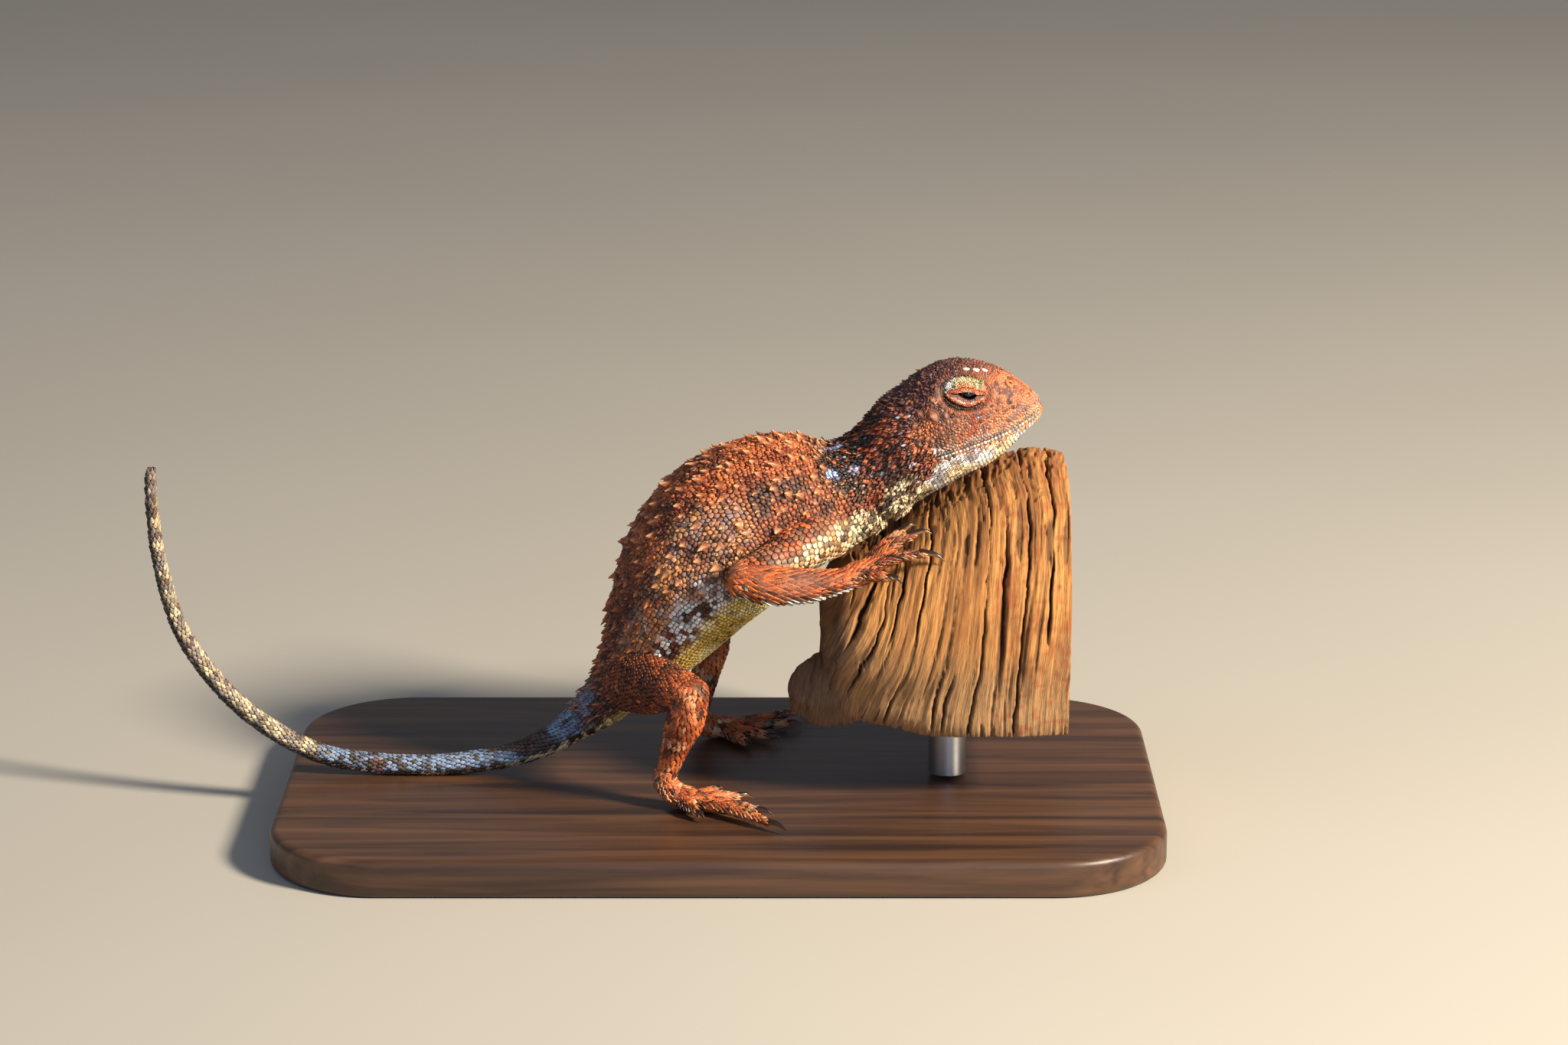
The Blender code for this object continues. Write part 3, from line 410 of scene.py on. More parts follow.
def body_tint(at, turn, points):
    """Markings of tail, trunk, neck and head, with painted shade over the pelvis, behind the arm and on the tail, at
    row numbers, angles from the ridge and places.
    """
    away = away_from_ridge(turn)
    broad, patch, fine = noise(points, 4.5, 1), noise(points, 1.7, 2), noise(points, 0.45, 3)
    tint = mix(RUST, mix(ORANGE, TAN, 0.22), step(0.3, 0.72, fine * 0.6 + patch * 0.4))
    tint = mix(tint, UMBER, 0.85 * step(0.50, 0.62, broad) * step(0.25, 0.6, patch))
    # Dark purple-brown over the pelvis and rear of the back: partly its own dark brown, partly painted shade.
    tint = mix(tint, "#2a1216", 0.88 * (1 - step(16.0, 19.2, at + 2.2 * (broad - 0.5))))
    flank = step(44, 62, away + 16 * (broad - 0.5)) * step(15.5, 17.0, at)
    dots = noise(points, 0.55, 4)
    cobble = mix(ASH * 1.05, TAN * 1.15, step(0.3, 0.7, patch))
    cobble = mix(cobble, SLATE * 0.9, 0.75 * step(0.50, 0.62, fine))
    bright = step(17.0, 18.5, at) * (1 - step(21.0, 22.2, at))
    cobble = mix(cobble, "#b06a30", (0.95 - 0.4 * bright) * step(0.46, 0.58, dots))
    cobble = mix(cobble, UMBER, 0.8 * step(0.58, 0.68, noise(points, 1.9, 11)) * step(0.3, 0.5, dots))
    # Darker copies of umber, rust and orange on the front of the flank: painted shade behind the arm.
    front = step(20.0, 21.2, at + 1.5 * (broad - 0.5))
    shade = mix(UMBER * 0.6, mix(RUST * 0.7, ORANGE * 0.6, step(0.5, 0.7, dots)), step(0.45, 0.66, patch))
    cobble = mix(cobble, shade, 0.92 * front)
    tint = mix(tint, cobble, 0.9 * flank)
    lower = step(84, 94, away + 14 * (patch - 0.5)) * (1 - step(18.4, 19.8, at + 1.5 * (broad - 0.5)))
    white = step(0.45, 0.51, 0.6 * dots + 0.4 * noise(points, 1.0, 5) + 0.002 * (away - 97))
    speckle = mix(mix(UMBER * 0.7, RUST, 0.6 * step(0.55, 0.65, fine)), WHITE, white)
    tint = mix(tint, speckle, lower * step(15, 16.5, at))
    belly = step(104, 118, away + 10 * (patch - 0.5))
    under = mix("#d8b450", "#e6d292", step(0.3, 0.7, patch))
    under = mix(under, "#f0e2be", step(19.5, 22.0, at))
    tint = mix(tint, under * (0.85 + 0.4 * fine)[..., None], belly)
    # The tail: far half pale above with painted shade below, near half dark, partly painted shade, its pale marks
    # grey-blue as painted shade with the sky's reflection, and a pale line under its root
    on_tail = 1 - step(13.8, 15.2, at)
    tail = mix(CREAM * 0.8, ASH * 0.85, step(0.3, 0.7, fine))
    tail = mix(tail, UMBER, 0.6 * step(0.56, 0.66, noise(points, 0.7, 6)))
    # The underside darker: painted shade.
    below = mix("#2b2624", ASH * 0.55, step(0.52, 0.66, fine))
    tail = mix(tail, below, step(96, 110, away + 14 * (patch - 0.5)))
    # The near half dark: partly its own colour, partly painted shade.
    root = step(7.0, 7.9, at)
    tail = mix(tail, mix("#1d1518", "#5b3020", step(0.55, 0.65, fine)), 0.9 * root * (away < 118))
    # Grey-blue patches on the near half: pale marks painted as in shade, with the sky's reflection.
    sky_reflection_in_shade = noise(points * (0.7, 1, 1), 2.2, 7) + 0.12 * (1 - step(10.6, 11.6, at))
    sky_reflection_in_shade = np.maximum(step(0.52, 0.60, sky_reflection_in_shade), bell(at - 13.2, 0.5))
    tail = mix(tail, ICE * 0.55, 0.85 * sky_reflection_in_shade * root * (away < 104) * step(0.25, 0.4, fine))
    tail = mix(tail, CREAM, step(100, 115, away) * 0.8 * step(0.4, 0.6, fine) * step(10.5, 12.0, at))
    tint = mix(tint, tail, on_tail)
    # The neck: black saddle with pale blue patches, pale dark-flecked throat
    neck = step(22.9, 23.6, at) * (1 - step(26.2, 27.2, at + 1.2 * (patch - 0.5)))
    saddle = mix(BLACK, mix(RUST, ORANGE, step(0.6, 0.7, fine)), step(0.52, 0.62, noise(points, 1.1, 8))
                 * step(24.2, 25.2, at))
    blue = np.max([1 - step(0.6, 1.0, np.hypot((at - row) / long, (away - angle) / wide)) for row, long, angle, wide in
                   ((23.62, 0.32, 56, 9), (24.5, 0.28, 60, 7), (24.1, 0.7, 14, 7))], 0)
    saddle = mix(saddle, "#7da6de", blue * step(0.30, 0.42, fine))
    tint = mix(tint, saddle, neck * (1 - step(66, 84, away + 20 * (patch - 0.5))))
    throat = mix(CREAM, BLACK, 0.9 * step(0.50, 0.56, noise(points, 0.6, 9)) * (1 - step(135, 160, away)))
    throat = mix(throat, RUST * 0.8, step(0.48, 0.6, patch) * (1 - step(105, 122, away)))
    tint = mix(tint, throat, step(22.8, 23.8, at) * step(92, 108, away + 12 * (patch - 0.5)))
    return head_tint(tint, at, points, away, patch, fine)


def head_tint(tint, at, points, away, patch, fine):
    """Markings of the head: orange cells, dark nape, warm snout, pale lips and chin, with painted shade on the crown,
    in the crease round the eye and in the nostril.
    """
    a, b = head_places(points)
    on_head = step(26.0, 27.2, at + 0.8 * (patch - 0.5))
    grain, spot = noise(points, 0.9, 12), noise(points, 0.3, 13)
    cells = mix("#a84c1e", "#dc7a38", step(0.3, 0.65, patch * 0.5 + fine * 0.5))
    rear = step(6.8, 9.5, a)
    cells = mix(cells, mix("#6b4c40", "#8f7464", step(0.4, 0.6, fine)),
                rear * (0.2 + 0.5 * step(0.45, 0.60, grain)))
    cells = mix(cells, mix(UMBER, mix(RUST, ORANGE, step(0.6, 0.7, fine)), step(0.42, 0.58, 0.5 * fine + 0.5 * grain)),
                0.85 * step(11.2, 14.5, a + 2.5 * (grain - 0.5)))
    # The dark violet crown: painted shade on the top and back of the head.
    crown = step(-0.8, 0.5, b - line_height(a, CROWN_EDGE) + 1.4 * (patch - 0.5))
    cells = mix(cells, mix("#402a38", "#75443a", step(0.45, 0.65, fine)), 0.92 * crown)
    snout = 1 - step(3.0, 5.8, a)
    cells = mix(cells, mix("#cd7a52", "#ac5734", step(0.45, 0.65, fine)), snout * (0.9 - 0.6 * crown))
    under_ridge = step(0.2, 0.5, line_height(a, SNOUT_RIDGE) - b)
    cells = mix(cells, mix("#d28a64", "#8e7a72", step(0.54, 0.64, grain)),
                0.7 * under_ridge * (1 - step(9.5, 11, a)))
    flecks = step(0.58, 0.66, 0.6 * spot + 0.4 * fine) * step(0.9, 2.4, a)
    cells = mix(cells, "#2a2a34", 0.75 * flecks * (1 - step(5.0, 6.4, b)))
    above_lips = step(0.6, 1.0, b)
    cells = mix(cells, "#8c7c7a", 0.4 * step(0.60, 0.68, noise(points, 0.38, 15)) * (a < 9.5) * above_lips)
    # A black ring in the crease round the eye: painted shade.
    rim = bell(oval_reach(*eye_slit(a, b)) - 1.02, 0.05) * (away < 100)
    cells = mix(cells, BLACK, 0.6 * rim)
    lip_line = bell(b - line_height(a) - 0.62, 0.22) * (1 - step(11.5, 12.5, a))
    cells = mix(cells, mix("#cdab84", ICE * 0.8, 0.5 * step(0.55, 0.65, fine)), lip_line * 0.7)
    near_blue = np.hypot((a - 6.8) / 0.95, (b - 2.5) / 0.42)
    cells = mix(cells, ICE, (1 - step(0.7, 1.0, near_blue)) * step(0.30, 0.45, fine))
    corner = np.minimum(np.hypot(a - 11.5, b - 1.66) / 0.28, 9)
    cells = mix(cells, WHITE, 1 - step(0.7, 1.0, corner))
    chin = step(0.1, 0.3, line_height(a, THROAT_EDGE) - b) * (a >= MOUTH_END)
    chin = np.maximum(chin, step(0.35, 0.6, line_height(a) - b) * (a < MOUTH_END))
    chin_tint = mix(WHITE, CREAM, step(0.3, 0.6, patch))
    chin_tint = mix(chin_tint, SLATE * 0.6, 0.7 * step(0.60, 0.68, noise(points, 0.7, 10)))
    chin_tint = mix(chin_tint, BLACK, 0.85 * step(11.5, 14.5, a) * step(0.5, 0.58, noise(points, 0.5, 14)))
    cells = mix(cells, chin_tint, chin)
    # A dark red-brown spot at the nostril: painted shade in its pit.
    cells = mix(cells, "#3a120c", 1 - step(0.22, 0.34, np.hypot(a - NOSTRIL[0], b - NOSTRIL[1])))
    return mix(tint, cells, on_head)


def limb_tint(name, share, points, high):
    """Markings of a limb: orange-red above with dark flecks, cream on the inner upper arm, pale fringes, and a thigh
    darker but for the knee, partly painted shade.
    """
    patch, fine = noise(points, 1.4, 21), noise(points, 0.4, 22)
    tint = mix(RUST, ORANGE, step(0.25, 0.65, patch * 0.5 + fine * 0.5))
    tint = mix(tint, BLACK, 0.85 * step(0.68, 0.74, noise(points, 0.75, 23)))
    pale = mix(CREAM, TAN, step(0.5, 0.75, fine))
    if "upper_arm" in name:
        inner = step(-0.05, 0.15, 0.5 * (1 - share) + 0.12 - high + 0.4 * (patch - 0.5))
        pale = mix(pale, BLACK, 0.8 * step(0.64, 0.72, noise(points, 0.8, 25)) * (1 - step(0.5, 0.9, -high)))
        tint = mix(tint, "#6b5648", 0.7 * step(0.45, 0.6, patch))
        tint = mix(tint, pale, inner)
    elif "forearm" in name or "palm" in name:
        dusky = step(0.42, 0.56, noise(points, 1.0, 26)) * (1 - step(0.6, 0.9, share))
        tint = mix(tint, "#7d5340", 0.7 * dusky)
        fringe = mix(BLACK, WHITE, step(0.50, 0.56, noise(points, 0.5, 27)))
        tint = mix(tint, fringe, step(-0.66, -0.82, high))
    elif "toe" in name or "finger" in name:
        tint = mix(tint, pale, 0.6 * step(0.35, 0.95, share) * step(0.35, 0.6, fine))
        tint = mix(tint, BLACK, 0.9 * step(0.66, 0.7, noise(points, 0.5, 28)))
    elif "shank" in name or "sole" in name:
        tint = mix(tint, pale, 0.8 * step(0.55, 0.8, noise(points, 1.0, 24)) * step(0.3, 0.6, fine))
    else:
        # The thigh darker all but at the knee: partly its own rust and umber, partly painted shade.
        tint = mix(tint * 0.8, UMBER, 0.85 * step(0.30, 0.50, patch) * (1 - step(0.70, 0.92, share)))
    return tint


# Skin
# One unbroken skin over tail, trunk, head and limbs, a tenth of a millimetre inside the solids' surface. The
# rolls overlap and are fused by a remesh on a 0.25 mm grid, so that no seam shows where a limb joins the body.
SKIN_VOXEL = 0.25
FLESH_NODES = ("head", "neck", "torso", "tail_base", "tail_middle", "tail_tip") + tuple(
    side + part for side in ("left_", "right_")
    for part in ("upper_arm", "forearm", "hand", "thigh", "shank", "foot"))


def body_skin(at, turn):
    """Points of the skin of tail, trunk and head, with the head's folds."""
    points = body_point(at, turn, SKIN_DEPTH)
    out = unit(points - smooth_middle(at))
    headness = np.clip((at - HEAD_ROW + 0.5) / 0.5, 0, 1)
    low = (1 - np.cos(turn)) / 2
    fold = 0.35 * bell(at - 25.2, 0.5) - 0.65 * bell(at - 24.45, 0.17)
    return points + out * (relief(points) * headness + fold * np.clip((low - 0.45) / 0.3, 0, 1))[..., None]


def smooth_middle(at):
    """The middle line of the body."""
    rows = smooth_rows(SPINE, at)
    return np.stack([rows[..., 0], np.zeros(np.shape(at)), rows[..., 1]], -1)


at = np.concatenate([np.linspace(0, TAIL_ROW, 260), np.linspace(TAIL_ROW, HEAD_ROW, 150)[1:],
                     np.linspace(HEAD_ROW, LAST_ROW, 170)[1:]])
at_grid, turn_grid = np.meshgrid(at, circle(200), indexing="ij")
rings = body_skin(at_grid, turn_grid)
shells = [(rings, body_tint(at_grid, turn_grid, rings))]
for name, rows in rolls.items():
    rings = tube(rows, 20 if "finger" in name or "toe" in name else 44, 40, SKIN_DEPTH)
    high = unit(rings - rings.mean(1, keepdims=True))[..., 2]
    share = np.broadcast_to(np.linspace(0, 1, len(rings))[:, None], high.shape)
    shells.append((rings, limb_tint(name, share, rings, high)))
flesh = solid_from("flesh", shells)


def apply_modifiers(made):
    """Replaces an object's mesh by the one its modifiers make."""
    graph = bpy.context.evaluated_depsgraph_get()
    made.data = bpy.data.meshes.new_from_object(made.evaluated_get(graph), depsgraph=graph)
    made.modifiers.clear()
    return made


skin = placed("skin", flesh.data.copy())
fuse = skin.modifiers.new("fuse", "REMESH")
fuse.mode, fuse.voxel_size, fuse.use_smooth_shade = "VOXEL", SKIN_VOXEL * MM, True
soften = skin.modifiers.new("soften", "SMOOTH")
soften.factor, soften.iterations = 0.5, 2
apply_modifiers(skin)
for layer in list(skin.data.color_attributes):
    skin.data.color_attributes.remove(layer)
skin.data.color_attributes.new("tint", "FLOAT_COLOR", "POINT")
carry = skin.modifiers.new("carry", "DATA_TRANSFER")
carry.object = flesh
carry.use_vert_data = True
carry.data_types_verts = {"COLOR_VERTEX"}
carry.vert_mapping = "NEAREST"
apply_modifiers(skin)
skin.data.color_attributes.active_color = skin.data.color_attributes["tint"]
bpy.data.objects.remove(flesh)
skin.data.shade_smooth()
corners = np.empty(len(skin.data.vertices) * 3, np.float32)
skin.data.vertices.foreach_get("co", corners)
skin_points = corners.reshape(-1, 3).astype(float) / MM
skin_tree = BVHTree.FromPolygons(skin_points.tolist(), [tuple(p.vertices) for p in skin.data.polygons])


def add(tree, kind, inputs=None, **settings):
    """Adds a node with its settings; each input is a value or another node's output."""
    made = tree.nodes.new(kind)
    for name, value in settings.items():
        setattr(made, name, value)
    for name, value in (inputs or {}).items():
        if isinstance(value, bpy.types.NodeSocket):
            tree.links.new(value, made.inputs[name])
        else:
            made.inputs[name].default_value = value
    return made


def new_material(name):
    """An empty material and its tree."""
    made = bpy.data.materials.new(name)
    made.use_nodes = True
    made.node_tree.nodes.clear()
    return made, made.node_tree


def finish_material(tree, colour, roughness, bump=None, **constants):
    """Links a surface shader: colour, roughness and bump may be outputs, all else are constants."""
    inputs = {"Base Color": colour, "Roughness": roughness}
    inputs.update({name.replace("_", " "): value for name, value in constants.items()})
    if bump is not None:
        inputs["Normal"] = bump
    shader = add(tree, "ShaderNodeBsdfPrincipled", inputs)
    add(tree, "ShaderNodeOutputMaterial", {"Surface": shader.outputs["BSDF"]})


def dyed_material(name, size, lights, bump, roughness, constants=None, flow=None, kind="Noise", settings=None,
                  **inputs):
    """A material in the mesh's own tint, which a texture of a size in millimetres lightens, darkens and raises.
    Lights are its low and high values and the lightness they give, the bump is strength and height, and the flow
    is a map's name, its millimetres a unit and its stretch."""
    made, tree = new_material(name)
    if flow:
        place = add(tree, "ShaderNodeUVMap", uv_map=flow[0]).outputs["UV"]
        place = add(tree, "ShaderNodeMapping", {"Vector": place, "Scale": flow[2]}).outputs["Vector"]
    else:
        place = add(tree, "ShaderNodeTexCoord").outputs["Object"]
    inputs.update({"Vector": place, "Scale": (flow[1] if flow else 1 / MM) / size})
    value = add(tree, "ShaderNodeTex" + kind, inputs, **(settings or {})).outputs[0]
    colour = add(tree, "ShaderNodeVertexColor", layer_name="tint").outputs["Color"]
    if lights:
        names = ("From Min", "From Max", "To Min", "To Max")
        light = add(tree, "ShaderNodeMapRange", {"Value": value, **dict(zip(names, lights))}).outputs["Result"]
        colour = add(tree, "ShaderNodeVectorMath", {0: colour, "Scale": light}, operation="SCALE").outputs["Vector"]
    raised = None
    if bump:
        raised = add(tree, "ShaderNodeBump", {"Height": value, "Strength": bump[0], "Distance": bump[1]})
        raised = raised.outputs["Normal"]
    finish_material(tree, colour, roughness, raised, **(constants or {}))
    return made


# Skin between scales: soft and matt, with folds some 0.1 mm wide; its tint darkened to between a sixth and a third,
# darkest along the folds, partly its own darker colour and partly painted shade between the scales and in the folds
skin_stuff = dyed_material("lizard skin, dry and matt", 0.28, (0, 0.25, 0.16, 0.36), (0.5, 0.00006), 0.62,
                           kind="Voronoi", settings={"feature": "DISTANCE_TO_EDGE"})
skin.data.materials.clear()
dress(skin, skin_stuff, "skin", *FLESH_NODES)

# Scales of trunk and neck
# Real ones are thin plates of horn, rooted in the skin and pointing to the tail: fine and keeled on the back,
# cobbled on the flanks in slanting rows, white and diamond-shaped low down, smooth on the belly.
CORNER_COUNT = 8
CORNERS = circle(CORNER_COUNT)
NECK_FROM, NECK_TO, HEAD_FROM, HEAD_TO = 23.9, 26.8, 26.6, LAST_ROW - 0.1
BACK_EDGE, THROAT_AWAY, BELLY_AWAY = 50, 92, 112
PATCH = 0.0015
rng = np.random.default_rng(11)


def lattice(surface, first, last, pitch, gap, jitter):
    """Staggered places on a surface: rows a pitch apart along it, and in each row places a gap apart, measured
    out from its ridge to both sides. Gives the row numbers, the angles and the row spacing in row numbers."""
    at = np.linspace(first, last, 1500)
    middle = (surface(at, at * 0) + surface(at, at * 0 + np.pi)) / 2
    run = np.concatenate([[0], np.cumsum(np.linalg.norm(np.diff(middle, axis=0), axis=1))])
    rows = np.interp(np.arange(pitch / 2, run[-1], pitch), run, at)
    turn = np.linspace(0, np.pi, 90)
    lines = surface(rows[:, None], turn[None, :])
    girth = np.concatenate([np.zeros((len(rows), 1)), np.cumsum(np.linalg.norm(np.diff(lines, axis=1), axis=2), 1)], 1)
    found = []
    for number, row in enumerate(rows):
        steps = (np.arange(int(girth[number, -1] / gap) + 1) + 0.5 * (number % 2)) * gap
        steps = steps[steps < girth[number, -1] - gap * 0.2]
        angles = np.interp(steps, girth[number], turn)
        angles = np.concatenate([angles, -angles[steps > 0.01]])
        found.append(np.column_stack([np.full(len(angles), row), angles]))
    found = np.vstack(found)
    spread = np.interp(found[:, 0], rows, np.gradient(rows))
    around = gap / np.maximum(np.interp(found[:, 0], rows, girth[:, -1]) / np.pi, 0.2)
    found += rng.uniform(-jitter, jitter, found.shape) * np.column_stack([spread, around])
    return found[:, 0], found[:, 1], spread


def on_skin(surface, at, turn, spread, reach=0.5):
    """Places, outward directions, directions to the tail and row spacings on the fused skin, and which of the
    places are kept: those with the skin near, not inside another part."""
    small = 1e-3
    here = surface(at, turn)
    along = surface(at + small, turn) - surface(at - small, turn)
    side = surface(at, turn + small) - surface(at, turn - small)
    normal = unit(np.cross(along, side))
    middle = (surface(at, turn * 0) + surface(at, turn * 0 + np.pi)) / 2
    normal *= np.sign(np.sum(normal * (here - middle), -1, keepdims=True))
    near = [skin_tree.find_nearest(Vector(point), 3.0) for point in here.tolist()]
    kept = np.array([hit[0] is not None and hit[3] < reach for hit in near])
    spot = np.array([hit[0] if hit[0] is not None else (0, 0, 0) for hit in near], float)
    facing = np.array([hit[1] if hit[0] is not None else (0, 0, 1) for hit in near], float)
    normal = unit(0.5 * normal + unit(facing))
    kept &= np.sum(normal * unit(facing), -1) > 0.3
    row = np.linalg.norm(along, axis=-1) / (2 * small) * spread
    return spot, normal, unit(-along), row, kept


def shingle_outline(scales, irregular):
    """Corners of overlapping scales: ellipses whose tip is drawn out and whose front half narrows to it."""
    count = len(scales["place"])
    point = scales["point"][:, None]
    x = np.broadcast_to(np.cos(CORNERS), (count, CORNER_COUNT))
    y = np.sin(CORNERS) * (1 - 0.45 * point * (np.cos(CORNERS) > 0.3) + 0.12 * point * (np.abs(np.cos(CORNERS)) < 0.3))
    x = x * (1 + 0.3 * point * (np.cos(CORNERS) > 0.9))
    wobble = 1 + irregular * rng.uniform(-1, 1, (count, CORNER_COUNT))
    return np.stack([x, y], -1) * wobble[..., None] * scales["size"][:, None, :2] * 0.5


def scale_axes(scales):
    """Directions of scales: to the tip, across, and out of the skin."""
    across = unit(np.cross(scales["normal"], scales["way"]))
    return np.stack([np.cross(across, scales["normal"]), across, scales["normal"]], 1)


def tree_of(places):
    """A search tree of places."""
    tree = KDTree(len(places))
    for number, spot in enumerate(places.tolist()):
        tree.insert(spot, number)
    tree.balance()
    return tree


def cell_outline(scales, gap, largest):
    """Corners of scales that fill the room between their neighbours: in each direction the edge lies where the
    way to a neighbour is shared by the two scales' radii, less half of the gap."""
    place, room = scales["place"], scales["room"]
    tree = tree_of(place)
    near = np.array([[found[1] for found in tree.find_n(spot, 11)[1:]] for spot in place.tolist()])
    offsets = np.einsum("nkc,nac->nka", place[near] - place[:, None], scale_axes(scales)[:, :2])
    ways = np.stack([np.cos(CORNERS), np.sin(CORNERS)], -1)
    ahead = np.einsum("nka,ca->nkc", offsets, ways)
    share = room[:, None] / (room[:, None] + room[near])
    far = (np.sum(offsets**2, -1) * share)[..., None]
    reach = np.where(ahead > 1e-4, far / np.maximum(ahead, 1e-4), 9.0).min(1)
    reach = np.clip(reach - gap / 2, 0.04, np.maximum(largest, room * 1.25)[:, None])
    return (reach * (1 + 0.06 * rng.uniform(-1, 1, reach.shape)))[..., None] * ways


PLATE = ((0.78, 0.96, 0.5, "tint"), (0.98, 0.62, 0.4, "edge"), (1.0, -1.2, 0.0, "gap"))
RIMMED = ((0.64, 0.80, 0.0, "tint"), (0.85, 0.12, 0.0, "groove"), (0.98, 0.42, 0.0, "edge"), (1.0, -1.2, 0.0, "gap"))


def scale_mesh(name, scales, irregular=0.10, cells=None, rings=PLATE, rough=0.22):
    """One mesh of many scales. Each is a hub, rings given as shares of its outline with their heights, the last
    one sunk in the skin, and a closed bottom. The keel lifts the line from root to tip, the tilt lifts the tip."""
    place, count = scales["place"], len(scales["place"])
    if "outline" in scales:
        outline = scales["outline"]
    else:
        outline = cell_outline(scales, *cells) if cells else shingle_outline(scales, irregular)
    high, keel = scales["size"][:, 2:], scales["keel"][:, None]
    sides = np.abs(outline[..., 1]) / np.maximum(np.abs(outline[..., 1]).max(1, keepdims=True), 1e-6)
    local = np.zeros((count, len(rings) * CORNER_COUNT + 2, 3))
    local[:, 0, 0] = 0.12 * scales["size"][:, 0] * scales["point"]
    local[:, 0, 2] = high[:, 0]
    # The groove ring inside the rim is a dark copy of the tint: painted shade in the groove.
    groove = scales["tint"] * 0.28
    colours = [scales["core"][:, None]]
    for number, (share, rise, ridge, key) in enumerate(rings):
        ring = slice(1 + number * CORNER_COUNT, 1 + (number + 1) * CORNER_COUNT)
        local[:, ring, :2] = outline * share
        bumpy = 1 + rough * rng.uniform(-1, 1, outline.shape[:2]) * (rise > 0)
        local[:, ring, 2] = np.maximum((rise - ridge * keel * sides) * bumpy * high, -0.16)
        colour = groove if key == "groove" else scales[key]
        colours.append(colour[:, None] * (1 + 0.16 * rng.uniform(-1, 1, (count, CORNER_COUNT, 1))))
    local[:, -1, 2] = local[:, -2, 2]
    colours.append(scales["gap"][:, None])
    back = -outline[..., 0].min(1)[:, None]
    local[..., 2] += scales["tilt"][:, None] * np.clip(local[..., 0] + back * 0.8, 0, None)
    points = place[:, None] + local @ scale_axes(scales)
    reach = np.maximum(np.abs(outline).max((1, 2)), 1e-6)[:, None, None]
    patches = scales["uv"][:, None] + PATCH * np.clip(local[..., :2] / reach, -1, 1)
    here = np.arange(CORNER_COUNT)
    after = (here + 1) % CORNER_COUNT
    fan = [(0, 1 + i, 1 + j) for i, j in zip(here, after)]
    bands = [(a + i, a + CORNER_COUNT + i, a + CORNER_COUNT + j, a + j)
             for a in range(1, 1 + (len(rings) - 1) * CORNER_COUNT, CORNER_COUNT) for i, j in zip(here, after)]
    last, end = 1 + (len(rings) - 1) * CORNER_COUNT, len(rings) * CORNER_COUNT + 1
    floors = [(end, last + j, last + i) for i, j in zip(here, after)]
    return joined(name, points, [fan, bands, floors], np.clip(np.concatenate(colours, 1), 0, 1), patches)


def joined(name, points, faces, colours, patches):
    """A mesh of many like shapes from arrays, with its tint and its bake map."""
    count, each = points.shape[:2]
    faces = [face for group in faces for face in group]
    sizes = np.array([len(face) for face in faces])
    flat = np.concatenate([np.array(face) for face in faces])
    loops = (flat[None, :] + each * np.arange(count)[:, None]).ravel()
    totals = np.tile(sizes, count)
    starts = np.concatenate([[0], np.cumsum(totals)[:-1]])
    mesh = bpy.data.meshes.new(name)
    mesh.vertices.add(count * each)
    mesh.vertices.foreach_set("co", (points * MM).astype(np.float32).ravel())
    mesh.loops.add(len(loops))
    mesh.loops.foreach_set("vertex_index", loops.astype(np.int32))
    mesh.polygons.add(len(totals))
    mesh.polygons.foreach_set("loop_start", starts.astype(np.int32))
    mesh.polygons.foreach_set("loop_total", totals.astype(np.int32))
    mesh.update(calc_edges=True)
    mesh.validate()
    made = placed(name, mesh)
    add_tint(made, colours.reshape(-1, 3))
    layer = mesh.uv_layers.new(name="OFBake")
    layer.data.foreach_set("uv", patches.reshape(-1, 2)[loops].astype(np.float32).ravel())
    mesh.shade_smooth()
    return dress(made, scale_stuff, "skin")


def vary(tint, amount):
    """Colours with each its own random lightness, and a few much darker ones."""
    light = 1 + amount * rng.uniform(-1, 1, (len(tint), 1)) - 2.2 * amount * (rng.random((len(tint), 1)) < 0.10)
    return tint * light * (1 + 0.25 * amount * rng.uniform(-1, 1, tint.shape))


# Real scales: dry keratin with a slight satin gloss, fine wrinkles and scratches 0.1 mm apart
scale_stuff = dyed_material("keratin scales, dry satin", 0.12, (0.32, 0.68, 0.5, 1.4), (0.75, 0.00006), 0.5,
                            Detail=3.0, Roughness=0.6)


def body_uv(at, turn):
    """Places on the body's own unwrap: the row number along, the angle from the ridge across."""
    wrapped = (turn + np.pi) % (2 * np.pi) - np.pi
    return np.column_stack([0.03 + 0.94 * at / LAST_ROW, 0.5 + 0.45 * wrapped / np.pi])


def shaded(scales, grey=0.3):
    """Gives scales their middle, rim and gap colours: a dull middle and a bright orange rim over a black gap on the
    dark and orange ones, an even face and a brown gap on the pale ones. The dark gaps are painted shade between scales."""
    tint = scales["tint"]
    pale = step(0.20, 0.34, tint.min(1))
    light = tint.mean(1, keepdims=True)
    dull = mix(tint, light * (1.0, 0.93, 0.86), grey)
    scales["core"] = mix(dull * 0.92, tint * 1.08, pale)
    glow = mix(tint, linear("#e07a34") * (0.10 + 3.0 * light), 0.7)
    scales["edge"] = mix(glow * rng.uniform(0.7, 1.7, light.shape), tint * 0.74, pale)
    # The gap: a near-black copy of the tint, brown on pale scales: painted shade between the scales.
    scales["gap"] = mix(tint * 0.06, "#4c2e1a", 0.7 * pale)
    return scales


